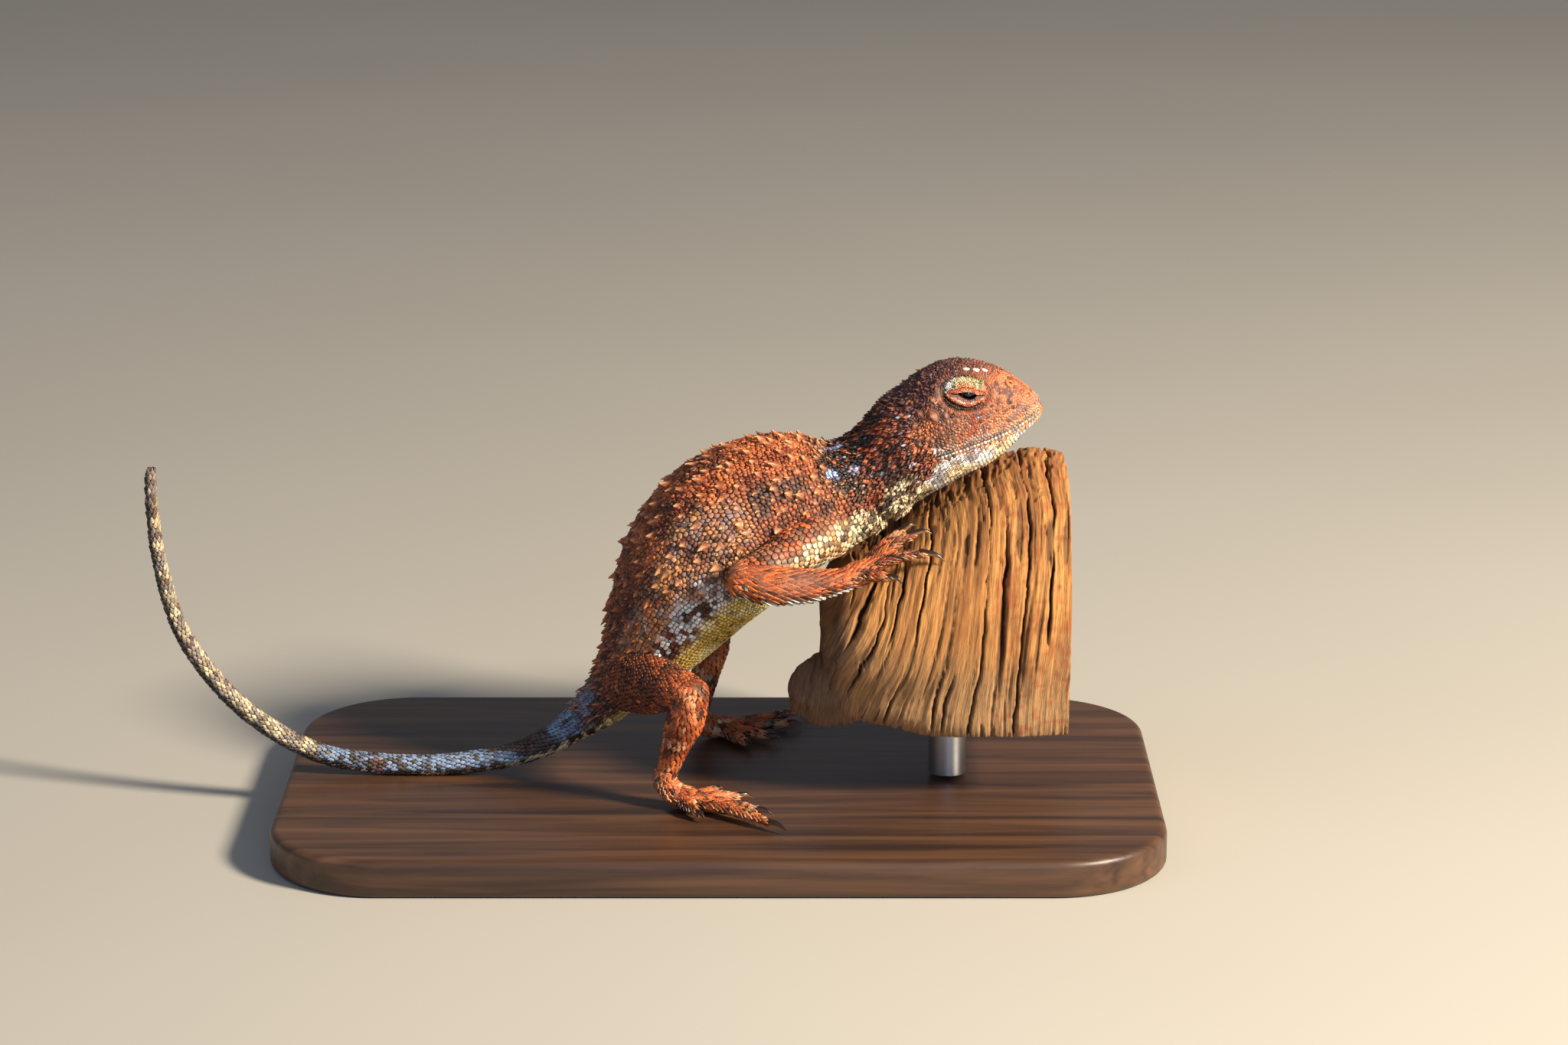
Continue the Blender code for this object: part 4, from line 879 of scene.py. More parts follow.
def body_scales(at, turn, spread, gap, height, point, keel, tilt, overlap=1.3):
    """Scales on the body at row numbers and angles, with the body's markings, and which of them are kept."""
    spot, normal, way, row, kept = on_skin(body_skin, at, turn, spread)
    count = len(at)
    size = np.column_stack([row * overlap, np.full(count, gap), np.full(count, height)])
    size *= 1 + 0.12 * rng.uniform(-1, 1, (count, 1))
    scales = {"place": spot, "normal": normal, "way": way, "size": size, "uv": body_uv(at, turn),
              "tint": vary(body_tint(at, turn, spot), 0.24), "room": np.full(count, gap / 2),
              "point": np.full(count, point), "keel": np.full(count, keel), "tilt": np.full(count, tilt)}
    return shaded(scales), kept


def glint(scales):
    """Strews dark, bright orange and a few ice-blue scales among the others: the dark ones vary the tone, the bright
    ones are painted glints.
    """
    draw = rng.random(len(scales["tint"]))
    for low, high, code in ((0.0, 0.28, "#1c1112"), (0.28, 0.42, "#c0602c"), (0.42, 0.445, "#a9b4c4")):
        chosen = (draw >= low) & (draw < high)
        for key, bright in (("tint", 1.0), ("core", 1.0), ("edge", 1.35)):
            scales[key][chosen] = 0.4 * scales[key][chosen] + 0.6 * linear(code) * bright


def keep(scales, kept):
    """The scales that a mask keeps."""
    return {name: values[kept] for name, values in scales.items()}


def merge(batches):
    """Several batches of scales as one."""
    return {name: np.concatenate([batch[name] for batch in batches]) for name in batches[0]}


at, turn, spread = lattice(body_skin, TAIL_ROW, NECK_FROM, 0.37, 0.37, 0.30)
back, kept = body_scales(at, turn, spread, 0.40, 0.13, 0.4, 1.0, 0.14)
back["size"][:, 2] *= rng.uniform(0.5, 1.9, len(at))
back["room"] *= rng.uniform(0.75, 1.35, len(at))
back = keep(back, kept & (away_from_ridge(turn) < BACK_EDGE + 4 * np.sin(at * 3)))
scale_mesh("coat_back", back, cells=(0.05, 0.32))
at, turn, spread = lattice(body_skin, TAIL_ROW, NECK_FROM, 0.44, 0.50, 0.20)
away = away_from_ridge(turn)
flank, kept = body_scales(at, turn, spread, 0.54, 0.12, 0.3, 0.35, 0.14)
flank["size"][:, 2] *= rng.uniform(0.5, 1.7, len(at))
flank["tilt"] *= rng.uniform(0, 2, len(at))
flank["room"] *= rng.uniform(0.7, 1.4, len(at))
kept &= away >= BACK_EDGE + 4 * np.sin(at * 3)
belly = away > BELLY_AWAY
flank["size"][belly, 2] *= 0.6
for key, value in (("keel", 0), ("room", 0.27), ("tilt", 0.03)):
    flank[key][belly] = value
# Belly scales: a darker rim, and a gap at under a third of the tint as painted shade between the scales.
for key, bright in (("core", 1.05), ("edge", 0.72), ("gap", 0.3)):
    flank[key][belly] = flank["tint"][belly] * bright
for side, sign in (("right", 1), ("left", -1)):
    scale_mesh("coat_flank_" + side, keep(flank, kept & (np.sin(turn) * sign >= 0)), cells=(0.075, 0.44))
at, turn, spread = lattice(body_skin, NECK_FROM, NECK_TO, 0.30, 0.33, 0.36)
neck, kept = body_scales(at, turn, spread, 0.37, 0.14, 0.9, 0.8, 0.30, overlap=1.45)
neck["tilt"] *= rng.uniform(0, 2.2, len(at))
neck["size"] *= rng.uniform(0.7, 1.3, (len(at), 1))
over = keep(neck, kept & (away_from_ridge(turn) < THROAT_AWAY))
glint(over)
scale_mesh("coat_neck", merge([over, keep(neck, kept & (away_from_ridge(turn) >= THROAT_AWAY))]))

# Scales of the tail
# Real ones are narrow keeled plates in rings, one keel behind the other, which make the tail long and ridged.
at, turn, spread = lattice(body_skin, 0.05, TAIL_ROW, 0.52, 0.42, 0.06)
tail, kept = body_scales(at, turn, spread, 0.46, 0.16, 0.8, 1.0, 0.14, overlap=1.35)
tail["edge"] = mix(tail["edge"], tail["tint"] * 0.75, 0.85)
scale_mesh("coat_tail", keep(tail, kept))

# Scales of the head
# Real ones are low rough domes, each in a groove inside a thin bright rim: a third of a millimetre wide on the
# snout, up to 1.8 mm on the temple, spiny on cheek and nape. Bigger plates border the lips, and the chin has rows
# of pointed white ones. They are placed as dots that keep the sum of their radii apart.


HEAD_POWER = 0.78


def on_head(a, b):
    """Row number and angle on the right side of places behind the snout and over its tip."""
    order = HEAD[::-1]
    at = LAST_ROW - np.interp(a, order[:, 0], np.arange(len(order)))
    top, bottom = (np.interp(a, order[:, 0], order[:, k]) for k in (1, 2))
    rise = np.clip((b - (top + bottom) / 2) / ((top - bottom) / 2), -1, 1)
    return at, np.arccos(signed_power(rise, 1 / HEAD_POWER))


def chin_edge(a):
    """Height over the snout's tip of the upper edge of the pale chin and throat."""
    return np.where(a < MOUTH_END, line_height(a) - 0.44, line_height(a, THROAT_EDGE))


def thin_out(places, radii, ranks):
    """Numbers of places of which no two lie closer than their radii allow: all of rank 0, then the others by rank
    and, within a rank, in a random order."""
    tree = tree_of(places)
    free = np.ones(len(places), bool)
    chosen = []
    for number in np.lexsort((rng.random(len(places)), ranks)).tolist():
        if not free[number]:
            continue
        chosen.append(number)
        for _, other, distance in tree.find_range(places[number].tolist(), radii[number] + radii[ranks > 0].max()):
            if ranks[other] > 0 and distance < 0.92 * (radii[number] + radii[other]):
                free[other] = False
    return np.array(chosen)


TUBERCLES = np.array((
    (10.5, 4.9, 0.80), (12.6, 4.7, 0.50), (9.3, 4.4, 0.52), (11.7, 5.6, 0.48), (9.9, 6.15, 0.42), (11.4, 6.6, 0.36),
    (13.9, 5.2, 0.44), (9.1, 5.4, 0.34), (8.4, 3.4, 0.34), (12.9, 2.8, 0.42), (11.6, 2.6, 0.36), (10.3, 2.9, 0.32),
    (13.2, 6.4, 0.40), (14.9, 4.0, 0.42), (12.4, 7.1, 0.36), (9.4, 7.2, 0.40),
))
UPPER_LIP, LOWER_LIP, BROW_SCALE, RIDGE_SCALE, EYE_RING, TUBERCLE, NOSE_PLATE, PLAIN = range(8)
upper_a, lower_a = np.arange(0.5, 12.0, 0.36), np.arange(0.7, 11.9, 0.38)
line_a = np.arange(1.2, 6.6, 0.135)
ring_a, ring_b = np.concatenate([eye_place(*oval_place(circle(count), reach))
                                 for reach, count in ((1.03, 74), (1.11, 72))], 1)
groups = (
    (UPPER_LIP, upper_a, line_height(upper_a) + 0.21, 0.17), (LOWER_LIP, lower_a, line_height(lower_a) - 0.20, 0.16),
    (BROW_SCALE, np.array((5.55, 4.68, 3.95)), np.array((7.1, 6.58, 6.12)), np.array((0.40, 0.48, 0.36))),
    (RIDGE_SCALE, line_a, line_height(line_a, SNOUT_RIDGE), 0.062), (EYE_RING, ring_a, ring_b, 0.085),
    (TUBERCLE, TUBERCLES[:, 0], TUBERCLES[:, 1], TUBERCLES[:, 2] * 1.04), (NOSE_PLATE, NOSTRIL[:1], NOSTRIL[1:], 0.56))
forced = np.concatenate([np.column_stack([np.broadcast_to(value, np.shape(a)) for value in (a, b, room, role)])
                         for role, a, b, room in groups])
forced_at, forced_turn = on_head(forced[:, 0], forced[:, 1])
at, turn, spread = lattice(body_skin, HEAD_FROM, HEAD_TO, 0.13, 0.13, 0.5)
places = body_skin(at, turn)
a, b = head_places(places)
on_side = np.abs(places[:, 1]) > 1.2
free = ~((np.abs(b - line_height(a)) < 0.34) & (a < MOUTH_END) & on_side) & (b > chin_edge(a) - 0.05)
free &= ~((oval_reach(*eye_slit(a, b)) < 1.03) & (np.abs(places[:, 1]) > 2.4))
free &= ~((np.hypot(a - NOSTRIL[0], b - NOSTRIL[1]) < 0.62) & on_side)
at, turn, a, b = at[free], turn[free], a[free], b[free]
draws = rng.random(len(at))
temple = step(7.6, 9.0, a) * (1 - step(11.6, 13.2, a)) * step(0.9, 1.9, b)
room = 0.120 + 0.025 * draws + temple * (0.02 + 0.17 * draws**4) + 0.035 * step(6.0, 7.2, b)
at = np.concatenate([at, at, forced_at, forced_at])
turn = np.concatenate([turn, turn, forced_turn, -forced_turn])
room = np.concatenate([room, np.full(len(draws), 0.08), forced[:, 2], forced[:, 2]])
role = np.concatenate([np.full(2 * len(draws), PLAIN), forced[:, 3], forced[:, 3]]).astype(int)
ranks = np.repeat((1, 2, 0), (len(draws), len(draws), 2 * len(forced)))
chosen = thin_out(body_skin(at, turn), room, ranks)
at, turn, room, role = at[chosen], turn[chosen], room[chosen], role[chosen]
head, kept = body_scales(at, turn, np.ones(len(at)), 0.4, 0.12, 0.0, 0.0, 0.0)
kept |= role != PLAIN
a, b = head_places(head["place"])
head["room"] = room
head["outline"] = cell_outline(head, 0.025, 0.30) * rng.uniform(0.86, 1.06, (len(a), CORNER_COUNT, 1))
spiny = step(11.0, 13.4, a + 0.7 * np.clip(3 - b, 0, 3) - 1.0 * (b > 7) + 0.8 * (rng.random(len(a)) - 0.5))
spiny *= (role == PLAIN)
head["point"], head["keel"], head["tilt"] = 0.95 * spiny, 0.9 * spiny, 0.5 * spiny * rng.uniform(0.1, 1.9, len(a))
head["size"] = np.column_stack([room * 3.3, room * 2.5, 0.04 + room * rng.uniform(0.2, 0.9, len(a))])
head["size"] *= 1 + 0.3 * spiny[:, None] * rng.uniform(-1, 1, (len(a), 1))
swing = (0.5 * spiny * rng.uniform(-1, 1, len(a)))[:, None]
head["way"] = unit(head["way"] + swing * np.cross(head["normal"], head["way"]))
head["size"][:, 2] += 0.05 * spiny + 0.05 * step(6.4, 7.4, b)
count = len(a)


def recolour(mask, tint, rim, gap):
    """Gives the scales of a mask their own face, rim and gap colours, the last as a code; the gap is painted shade
    between the scales.
    """
    head["tint"][mask] = vary(np.broadcast_to(tint, (count, 3)), 0.1)[mask]
    head["core"][mask] = head["tint"][mask] * 1.05
    head["edge"][mask] = head["tint"][mask] * rim
    head["gap"][mask] = linear(gap)


pale = mix(CREAM, WHITE, rng.random(count))
blue = step(0.50, 0.56, noise(np.column_stack([a * 0.8, b, b]), 0.9, 31)) * (a > 1.8)
lip_draw = rng.random((2, count))
upper_lip = mix(pale, "#c9825c", 0.3 + 0.6 * lip_draw[0]) * rng.uniform(0.4, 0.85, (count, 1))
lower_lip = pale * (0.5 + 0.3 * lip_draw[0])[:, None]
along, across = eye_slit(a, b)
over_eye = (role == EYE_RING) & (oval_reach(along, across) < 1.07) & (across > 0.5) & (along > -1.3) & (along < 1.7)
recolour(role == UPPER_LIP, mix(upper_lip, SLATE, 0.8 * np.maximum(blue, lip_draw[1] > 0.8)), 0.75, "#6e4a30")
recolour(role == LOWER_LIP, mix(lower_lip, SLATE, 0.7 * (lip_draw[1] > 0.62)), 0.85, "#7d6248")
recolour(role == BROW_SCALE, linear("#dedbd2"), 0.85, "#4a2c20")
recolour(role == RIDGE_SCALE, linear("#d8905e"), 0.85, "#8a4a2a")
recolour(over_eye, mix("#a89c48", "#7a5a30", rng.random(count)), 0.7, "#2c1a10")
plates = np.isin(role, (UPPER_LIP, LOWER_LIP, BROW_SCALE, RIDGE_SCALE))
head["size"][plates, 2] = np.where(role == RIDGE_SCALE, 0.12, rng.uniform(0.03, 0.08, count))[plates]
plain = kept & ~plates & (role != TUBERCLE) & (role != NOSE_PLATE)
scale_mesh("coat_head", keep(head, plain & (spiny < 0.5)), rings=RIMMED, rough=0.4)
scale_mesh("coat_lips", keep(head, kept & plates))
cheeks = keep(head, plain & (spiny >= 0.5))
del cheeks["outline"]
glint(cheeks)
scale_mesh("coat_cheeks", cheeks)
at, turn, spread = lattice(body_skin, HEAD_FROM, HEAD_TO, 0.38, 0.30, 0.10)
chin, kept = body_scales(at, turn, spread, 0.32, 0.10, 0.85, 0.4, 0.26, overlap=1.35)
a, b = head_places(chin["place"])
scale_mesh("coat_chin", keep(chin, kept & (b < chin_edge(a) + 0.02)))

# Limb scales
# Real ones overlap like shingles, long and keeled on arms and thighs, in dark-edged rows that end in pale spiny
# fringes along the rear edges and the toes.


def limb_surface(rows, up):
    """Points on a limb's roll at a row number and an angle from the side that up points to. Past its end rows
    the roll closes in a ball, one more row number being one radius."""
    rows, up = np.asarray(rows, float), np.asarray(up, float)
    last = len(rows) - 1

    def surface(at, turn):
        """Middle of the row, moved by the radius in the direction of the angle."""
        at, turn = np.broadcast_arrays(np.asarray(at, float), np.asarray(turn, float))
        inside = np.clip(at, 0, last)
        path = smooth_rows(rows, inside)
        ahead = smooth_rows(rows, np.minimum(inside + 0.01, last)) - smooth_rows(rows, np.maximum(inside - 0.01, 0))
        way = unit(ahead[..., :3])
        beyond = np.clip(at - inside, -0.95, 0.95)
        radius = (path[..., 3] + SKIN_DEPTH) * np.sqrt(1 - beyond**2)
        third = unit(up - way * np.sum(way * up, -1, keepdims=True))
        across = np.cross(way, third)
        around = np.cos(turn)[..., None] * third + np.sin(turn)[..., None] * across
        return path[..., :3] + way * (beyond * path[..., 3])[..., None] + radius[..., None] * around

    return surface


LIMB_KINDS = {
    "upper_arm": (0.60, 0.62, 1.35, 0.10, 0.4, 0.4, 0.08), "forearm": (0.66, 0.52, 1.8, 0.11, 1.0, 1.0, 0.15),
    "palm": (0.50, 0.46, 1.6, 0.11, 0.8, 0.7, 0.14), "thigh": (0.42, 0.44, 1.4, 0.12, 0.7, 0.8, 0.16),
    "shank": (0.52, 0.50, 1.5, 0.11, 0.8, 0.7, 0.14), "sole": (0.44, 0.44, 1.4, 0.10, 0.7, 0.6, 0.12),
    "finger": (0.38, 0.34, 1.6, 0.09, 0.9, 0.7, 0.14), "toe": (0.38, 0.34, 1.6, 0.09, 0.9, 0.7, 0.14),
}
coats = {"upper_arm": [], "forearm": [], "hand": [], "thigh": [], "leg": [], "foot": []}
for number, (name, rows) in enumerate(rolls.items()):
    kind = next(word for word in LIMB_KINDS if word in name)
    group = {"palm": "hand", "finger": "hand", "shank": "leg", "sole": "foot", "toe": "foot"}.get(kind, kind)
    pitch, gap, overlap, height, point, keel, tilt = LIMB_KINDS[kind]
    up = (1, 0, 0.1) if kind in ("shank", "sole") else (0, 0, 1)
    surface = limb_surface(rows, up)
    last = len(rows) - 1
    jitter = 0.24 if kind in ("thigh", "shank", "upper_arm") else 0.12
    at, turn, spread = lattice(surface, -0.7 if kind in ("forearm", "shank") else 0.0, last + 0.5, pitch, gap, jitter)
    spot, normal, way, row, kept = on_skin(surface, at, turn, spread, 0.3)
    count = len(at)
    share = at / last
    tint = vary(limb_tint(name, share, spot, normal[:, 2]), 0.2)
    size = np.column_stack([row * overlap, np.full(count, gap * 1.1), np.full(count, height)])
    size[:, 0] = np.clip(size[:, 0], 0.3, pitch * overlap * 1.15)
    size *= 1 + 0.12 * rng.uniform(-1, 1, (count, 1))
    uv = np.column_stack([0.02 + 0.46 * (share + 0.3) / 1.6 + 0.5 * ("left" in name),
                          (number % 16 + 0.1 + 0.8 * (0.5 + turn / (2 * np.pi))) / 16])
    scales = shaded({"place": spot, "normal": normal, "way": -way, "size": size, "tint": tint, "uv": uv,
                     "room": np.full(count, gap / 2), "point": np.full(count, point), "keel": np.full(count, keel),
                     "tilt": np.full(count, tilt)}, 0.4)
    if kind in ("finger", "toe", "palm", "sole"):
        fringe = np.abs(normal[:, 2] + 0.1) < 0.22
        scales["tilt"][fringe] += 0.25
        scales["edge"][fringe] = mix(scales["edge"], CREAM, 0.6)[fringe]
    if kind == "forearm":
        scales["size"][:, :2] *= (1 - 0.35 * step(0.6, 0.95, share))[:, None]
        fringe = normal[:, 2] < -0.6
        scales["tilt"][fringe] += 0.12
        scales["edge"][(normal[:, 2] < -0.72) & (rng.random(count) < 0.6)] = linear("#cfcac0")
    coats[group].append(keep(scales, kept))
for group, batches in coats.items():
    scale_mesh("coat_" + group + "s", merge(batches),
               cells=(0.06, 0.42) if group == "upper_arm" else None)

# Thorns
# Real ones are upright keeled pyramids of horn on a broad rosette of scales, spread in loose rows over back, flanks
# and nape, orange-tan with pale points and keels, and most lean to the tail. Their feet are darkened as painted
# shade, and the pale points are partly a painted highlight.
SPIKE_PROFILE = ((1.0, -0.45, 0), (1.0, 0.02, 0), (0.74, 0.13, 0.3), (0.46, 0.38, 0.6), (0.27, 0.64, 0.85),
                 (0.12, 0.88, 1))


def spike_mesh(name, spikes, sides=10, keels=5, depth=0.2, profile=SPIKE_PROFILE):
    """One mesh of many cones: rings with keels of their own turn and breadth, narrowing up a profile of radius,
    height and heat to a point that leans along the way, and a closed bottom. Heat runs from the foot's colour
    through the cone's to the tip's, the keels a little nearer the cone's. A dark foot colour is painted shade where
    a cone meets the skin or in a groove, and a pale tip colour partly a painted highlight."""
    place, normal, way = spikes["place"], spikes["normal"], spikes["way"]
    across = unit(np.cross(normal, way))
    way = np.cross(across, normal)
    count = len(place)
    turn = circle(sides)
    ridge = np.cos(keels * turn + rng.uniform(-0.6, 0.6, (count, 1)))
    uneven = sum(0.07 * np.cos(k * turn + rng.uniform(0, 6.3, (count, 1))) for k in (2, 3, 4))
    star = (1 + depth * ridge + uneven) * (1 + 0.07 * rng.uniform(-1, 1, (count, sides)))
    flat = rng.uniform(0.82, 1.18, (count, 1))
    outline = np.stack([np.cos(turn) * star * flat, np.sin(turn) * star / flat, 0 * star], -1)
    size, lean = spikes["size"], spikes["lean"]
    local, heats = [], []
    for radius, rise, heat in profile:
        ring = outline * radius * size[:, None, :1] * (0.5, 0.5, 1)
        wobble = 0.08 * rng.uniform(-1, 1, (count, sides)) * (0 < rise)
        up = (rise + wobble) * size[:, 1:2]
        forward = lean[:, None] * max(rise, 0) ** 1.6 * size[:, 1:2]
        local.append(ring + np.stack([forward + 0 * up, 0 * up, up], -1))
        heats.append(heat + 0.2 * np.clip(ridge, 0, 1) * (0 < rise < 0.9))
    tip = np.stack([lean * size[:, 1], 0 * lean, size[:, 1]], -1)[:, None]
    root = np.stack([0 * lean, 0 * lean, profile[0][1] * size[:, 1]], -1)[:, None]
    local = np.concatenate(local + [tip, root], 1)
    points = place[:, None] + local @ np.stack([way, across, normal], 1)
    heats = np.concatenate(heats + [np.full((count, 1), profile[-1][2]), np.zeros((count, 1))], 1)[..., None]
    heats = np.clip(heats, 0, 1)
    blend = spikes["edge"][:, None] * (1 - heats) + spikes["tint"][:, None] * heats
    colours = blend * (1 - heats**6) + spikes["tip"][:, None] * heats**6
    patches = spikes["uv"][:, None] + PATCH * np.clip(local[..., :2] / (0.5 * size[:, None, :1]), -1, 1)
    around, rings = np.arange(sides), len(profile)
    after = (around + 1) % sides
    bands = [(k * sides + i, k * sides + j, (k + 1) * sides + j, (k + 1) * sides + i)
             for k in range(rings - 1) for i, j in zip(around, after)]
    top = [((rings - 1) * sides + i, (rings - 1) * sides + j, rings * sides) for i, j in zip(around, after)]
    floor = [(j, i, rings * sides + 1) for i, j in zip(around, after)]
    return joined(name, points, [bands, top, floor], colours, patches)


def body_spikes(first, last, pitch, gap, jitter, reach, wide, tall, seed, chance=1.0):
    """Spikes on the body in loose rows up to an angle from the ridge, with sizes that vary."""
    at, turn, spread = lattice(body_skin, first, last, pitch, gap, jitter)
    spot, normal, way, _, kept = on_skin(body_skin, at, turn, spread)
    draw = np.random.default_rng(seed)
    count = len(at)
    away = away_from_ridge(turn)
    scale = draw.uniform(0.4, 1.0, count) * (1 + 0.4 * bell(away, 22))
    kept &= (away < reach * (0.85 + 0.3 * draw.random(count))) & (draw.random(count) < chance)
    base = body_tint(at, turn, spot)
    tint = mix(base, "#b8622c", draw.uniform(0.3, 0.8, count) * (at < 25))
    lean = unit(way + 0.7 * draw.uniform(-1, 1, (count, 1)) * np.cross(normal, way))
    spikes = {"place": spot, "normal": unit(normal + draw.uniform(0.1, 0.6, (count, 1)) * lean + (0, 0, 0.1)),
              "way": lean, "lean": draw.uniform(0.2, 0.9, count), "uv": body_uv(at, turn), "tint": tint,
              "size": np.column_stack([wide * (0.55 + 0.45 * scale), tall * scale]),
              # The foot darkened: painted shade where the thorn meets the skin. The tip paler: partly its own pale
              # point, partly a painted highlight.
              "edge": mix(base, RUST, 0.4) * 0.6,
              "tip": mix(tint * 1.3, "#dca878", 0.6 * (at < 24.5) * step(17.0, 20.0, at) + 0.15)}
    return keep(spikes, kept)


spike_mesh("thorns_back", body_spikes(15.0, 23.6, 1.6, 1.7, 0.42, 90, 1.35, 0.82, 5))
spike_mesh("thorns_small", merge([
    body_spikes(15.4, 23.8, 0.95, 1.0, 0.42, 95, 0.7, 0.42, 6, 0.6),
    body_spikes(13.6, 16.4, 0.95, 1.0, 0.35, 110, 0.8, 0.75, 7, 0.75),
    body_spikes(23.2, 27.6, 0.85, 0.9, 0.40, 88, 0.62, 0.55, 8, 0.65),
    body_spikes(26.0, 29.4, 1.0, 1.0, 0.35, 58, 0.75, 0.48, 9, 0.8),
]), sides=8, keels=4)

# Head tubercles and nose plates
# Real ones are blunt, wrinkled domes on the temples, each in a bright ring, and the largest is 1.8 mm wide; their feet
# and the groove inside the ring are painted near black as shade. The nostril is a slanting pit in a smooth plate of
# its own, the pit painted dark as shade.
TUBERCLE_PROFILE = ((1.0, -0.7, 0), (1.0, 0.20, 1), (0.95, 0.24, 1), (0.87, 0.05, 0), (0.76, 0.30, 0.3),
                    (0.54, 0.50, 0.5), (0.30, 0.72, 0.6), (0.12, 0.92, 0.75))
bumps = keep(head, role == TUBERCLE)
base = mix(bumps["tint"], "#8f5a44", 0.6)
spike_mesh("head_tubercles", {
    "place": bumps["place"], "normal": bumps["normal"], "way": bumps["way"], "uv": bumps["uv"], "tint": base * 1.1,
    "size": np.column_stack([bumps["room"] * 1.86, bumps["room"] * 0.55]), "lean": rng.uniform(0, 0.5, len(base)),
    # A fifth of the tint at the foot and in the groove inside the ring: painted shade.
    "edge": base * 0.2, "tip": mix(base, "#d8884e", rng.uniform(0.2, 0.9, len(base))),
}, sides=22, keels=7, depth=0.035, profile=TUBERCLE_PROFILE)
NOSE_PROFILE = ((0.64, -0.5), (0.64, -0.08), (0.58, 0.0), (0.45, 0.05), (0.30, 0.08), (0.185, 0.08), (0.15, 0.0),
                (0.12, -0.2), (0.05, -0.28))
NOSE_SIDES = 28
nose = keep(head, role == NOSE_PLATE)
nose_shells = []
for spot, normal in zip(nose["place"], nose["normal"]):
    long_way = unit(UPWARD - 0.45 * FORWARD)
    long_way = unit(long_way - normal * (long_way @ normal))
    wide_way = np.cross(normal, long_way)
    radius, rise = np.array(NOSE_PROFILE).T
    around = circle(NOSE_SIDES)
    oval = np.where(radius < 0.25, 1.5, 1.0)[:, None, None]
    rough = 1 + 0.08 * np.cos(5 * around + 1) + 0.05 * np.cos(3 * around)
    radius = (radius[:, None] * rough)[..., None]
    rings = spot + rise[:, None, None] * normal + radius * (
        oval * np.cos(around)[None, :, None] * long_way + np.sin(around)[None, :, None] * wide_way)
    # The pit nearly black, the plate orange: the dark is painted shade in the nostril.
    rim = mix("#2e0c07", "#c4703c", step(-0.05, 0.06, rise))
    rim[:2] = linear("#4a2014")
    nose_shells.append((rings, np.repeat(rim[:, None], NOSE_SIDES, 1)))
dress(solid_from("nose_plates", nose_shells), scale_stuff, "skin")

# Eyes
# Real ones are small brown globes with a round black pupil in a thin golden ring, wet and bright, set 1.5 mm deep
# in the head and almost hidden by thick lids.
EYE_PLACE = (6.38, 5.1, 3.15)
EYE_RADIUS = 1.5
EYE_RINGS, EYE_SIDES = 48, 64
eye_stuff = dyed_material("wet eye, clear cornea", 0.12, (0, 1, 0.7, 1.3), None, 0.06,
                          {"IOR": 1.38, "Coat_Weight": 1.0, "Coat_Roughness": 0.02}, Detail=3.0)


def eye_axes(sign):
    """Directions of one eye's slit: to its front corner, up across the lids, and out of the head."""
    front = math.cos(EYE_TILT) * FORWARD + math.sin(EYE_TILT) * UPWARD
    up = -math.sin(EYE_TILT) * FORWARD + math.cos(EYE_TILT) * UPWARD
    return front, up, sign * SIDEWAYS


for label, sign in (("right", -1.0), ("left", 1.0)):
    front, up, out = eye_axes(sign)
    centre = head_point(EYE_PLACE[0], EYE_PLACE[1], sign * EYE_PLACE[2])
    look = unit(out + 0.10 * front + 0.02 * up)
    first = unit(np.cross(look, up))
    second = np.cross(look, first)
    polar = np.linspace(0.02, np.pi - 0.02, EYE_RINGS)[:, None, None]
    around = circle(EYE_SIDES)[None, :, None]
    bulge = 1 + 0.05 * bell(polar, 0.5)
    rings = centre + EYE_RADIUS * bulge * (np.cos(polar) * look + np.sin(polar) * (np.cos(around) * first
                                                                                + np.sin(around) * second))
    reach = EYE_RADIUS * np.sin(np.minimum(polar[:, 0, 0], np.pi / 2))
    iris = mix("#060404", "#8a5a22", step(0.60, 0.64, reach))
    iris = mix(iris, "#22130d", step(0.72, 0.84, reach))
    eye = solid_from(label + "_eyeball", [(rings, np.repeat(iris[:, None], EYE_SIDES, 1))])
    dress(eye, eye_stuff, "eye", label + "_eye")

# Lids
# Real ones are thick and almost shut: a pale upper lid with blue-grey specks and a yellow crease above, rolled
# orange rims, a pale line along the gap, and a hollow below, all covered with grains of horn. The hollow, a fold
# over the upper rim, the crease round the lids, the slit's edges and the lids' underside are painted dark as shade.
LID_RINGS, LID_SIDES = 96, 220
SLIT = 1.93
LID_BULGE = 0.80


def skin_side(x, y):
    """Distance from the middle plane to the head's skin at places along and across the eye's slit."""
    a, b = eye_place(x, y)
    at, turn = on_head(a, b)
    return np.abs(body_point(at, turn, SKIN_DEPTH)[..., 1])


def lid_dome(x, y):
    """How high the lids stand at places along and across the slit, from 0 on the oval's rim to 1."""
    return np.clip(1 - oval_reach(x, y) ** 2, 0, 1) ** 0.62


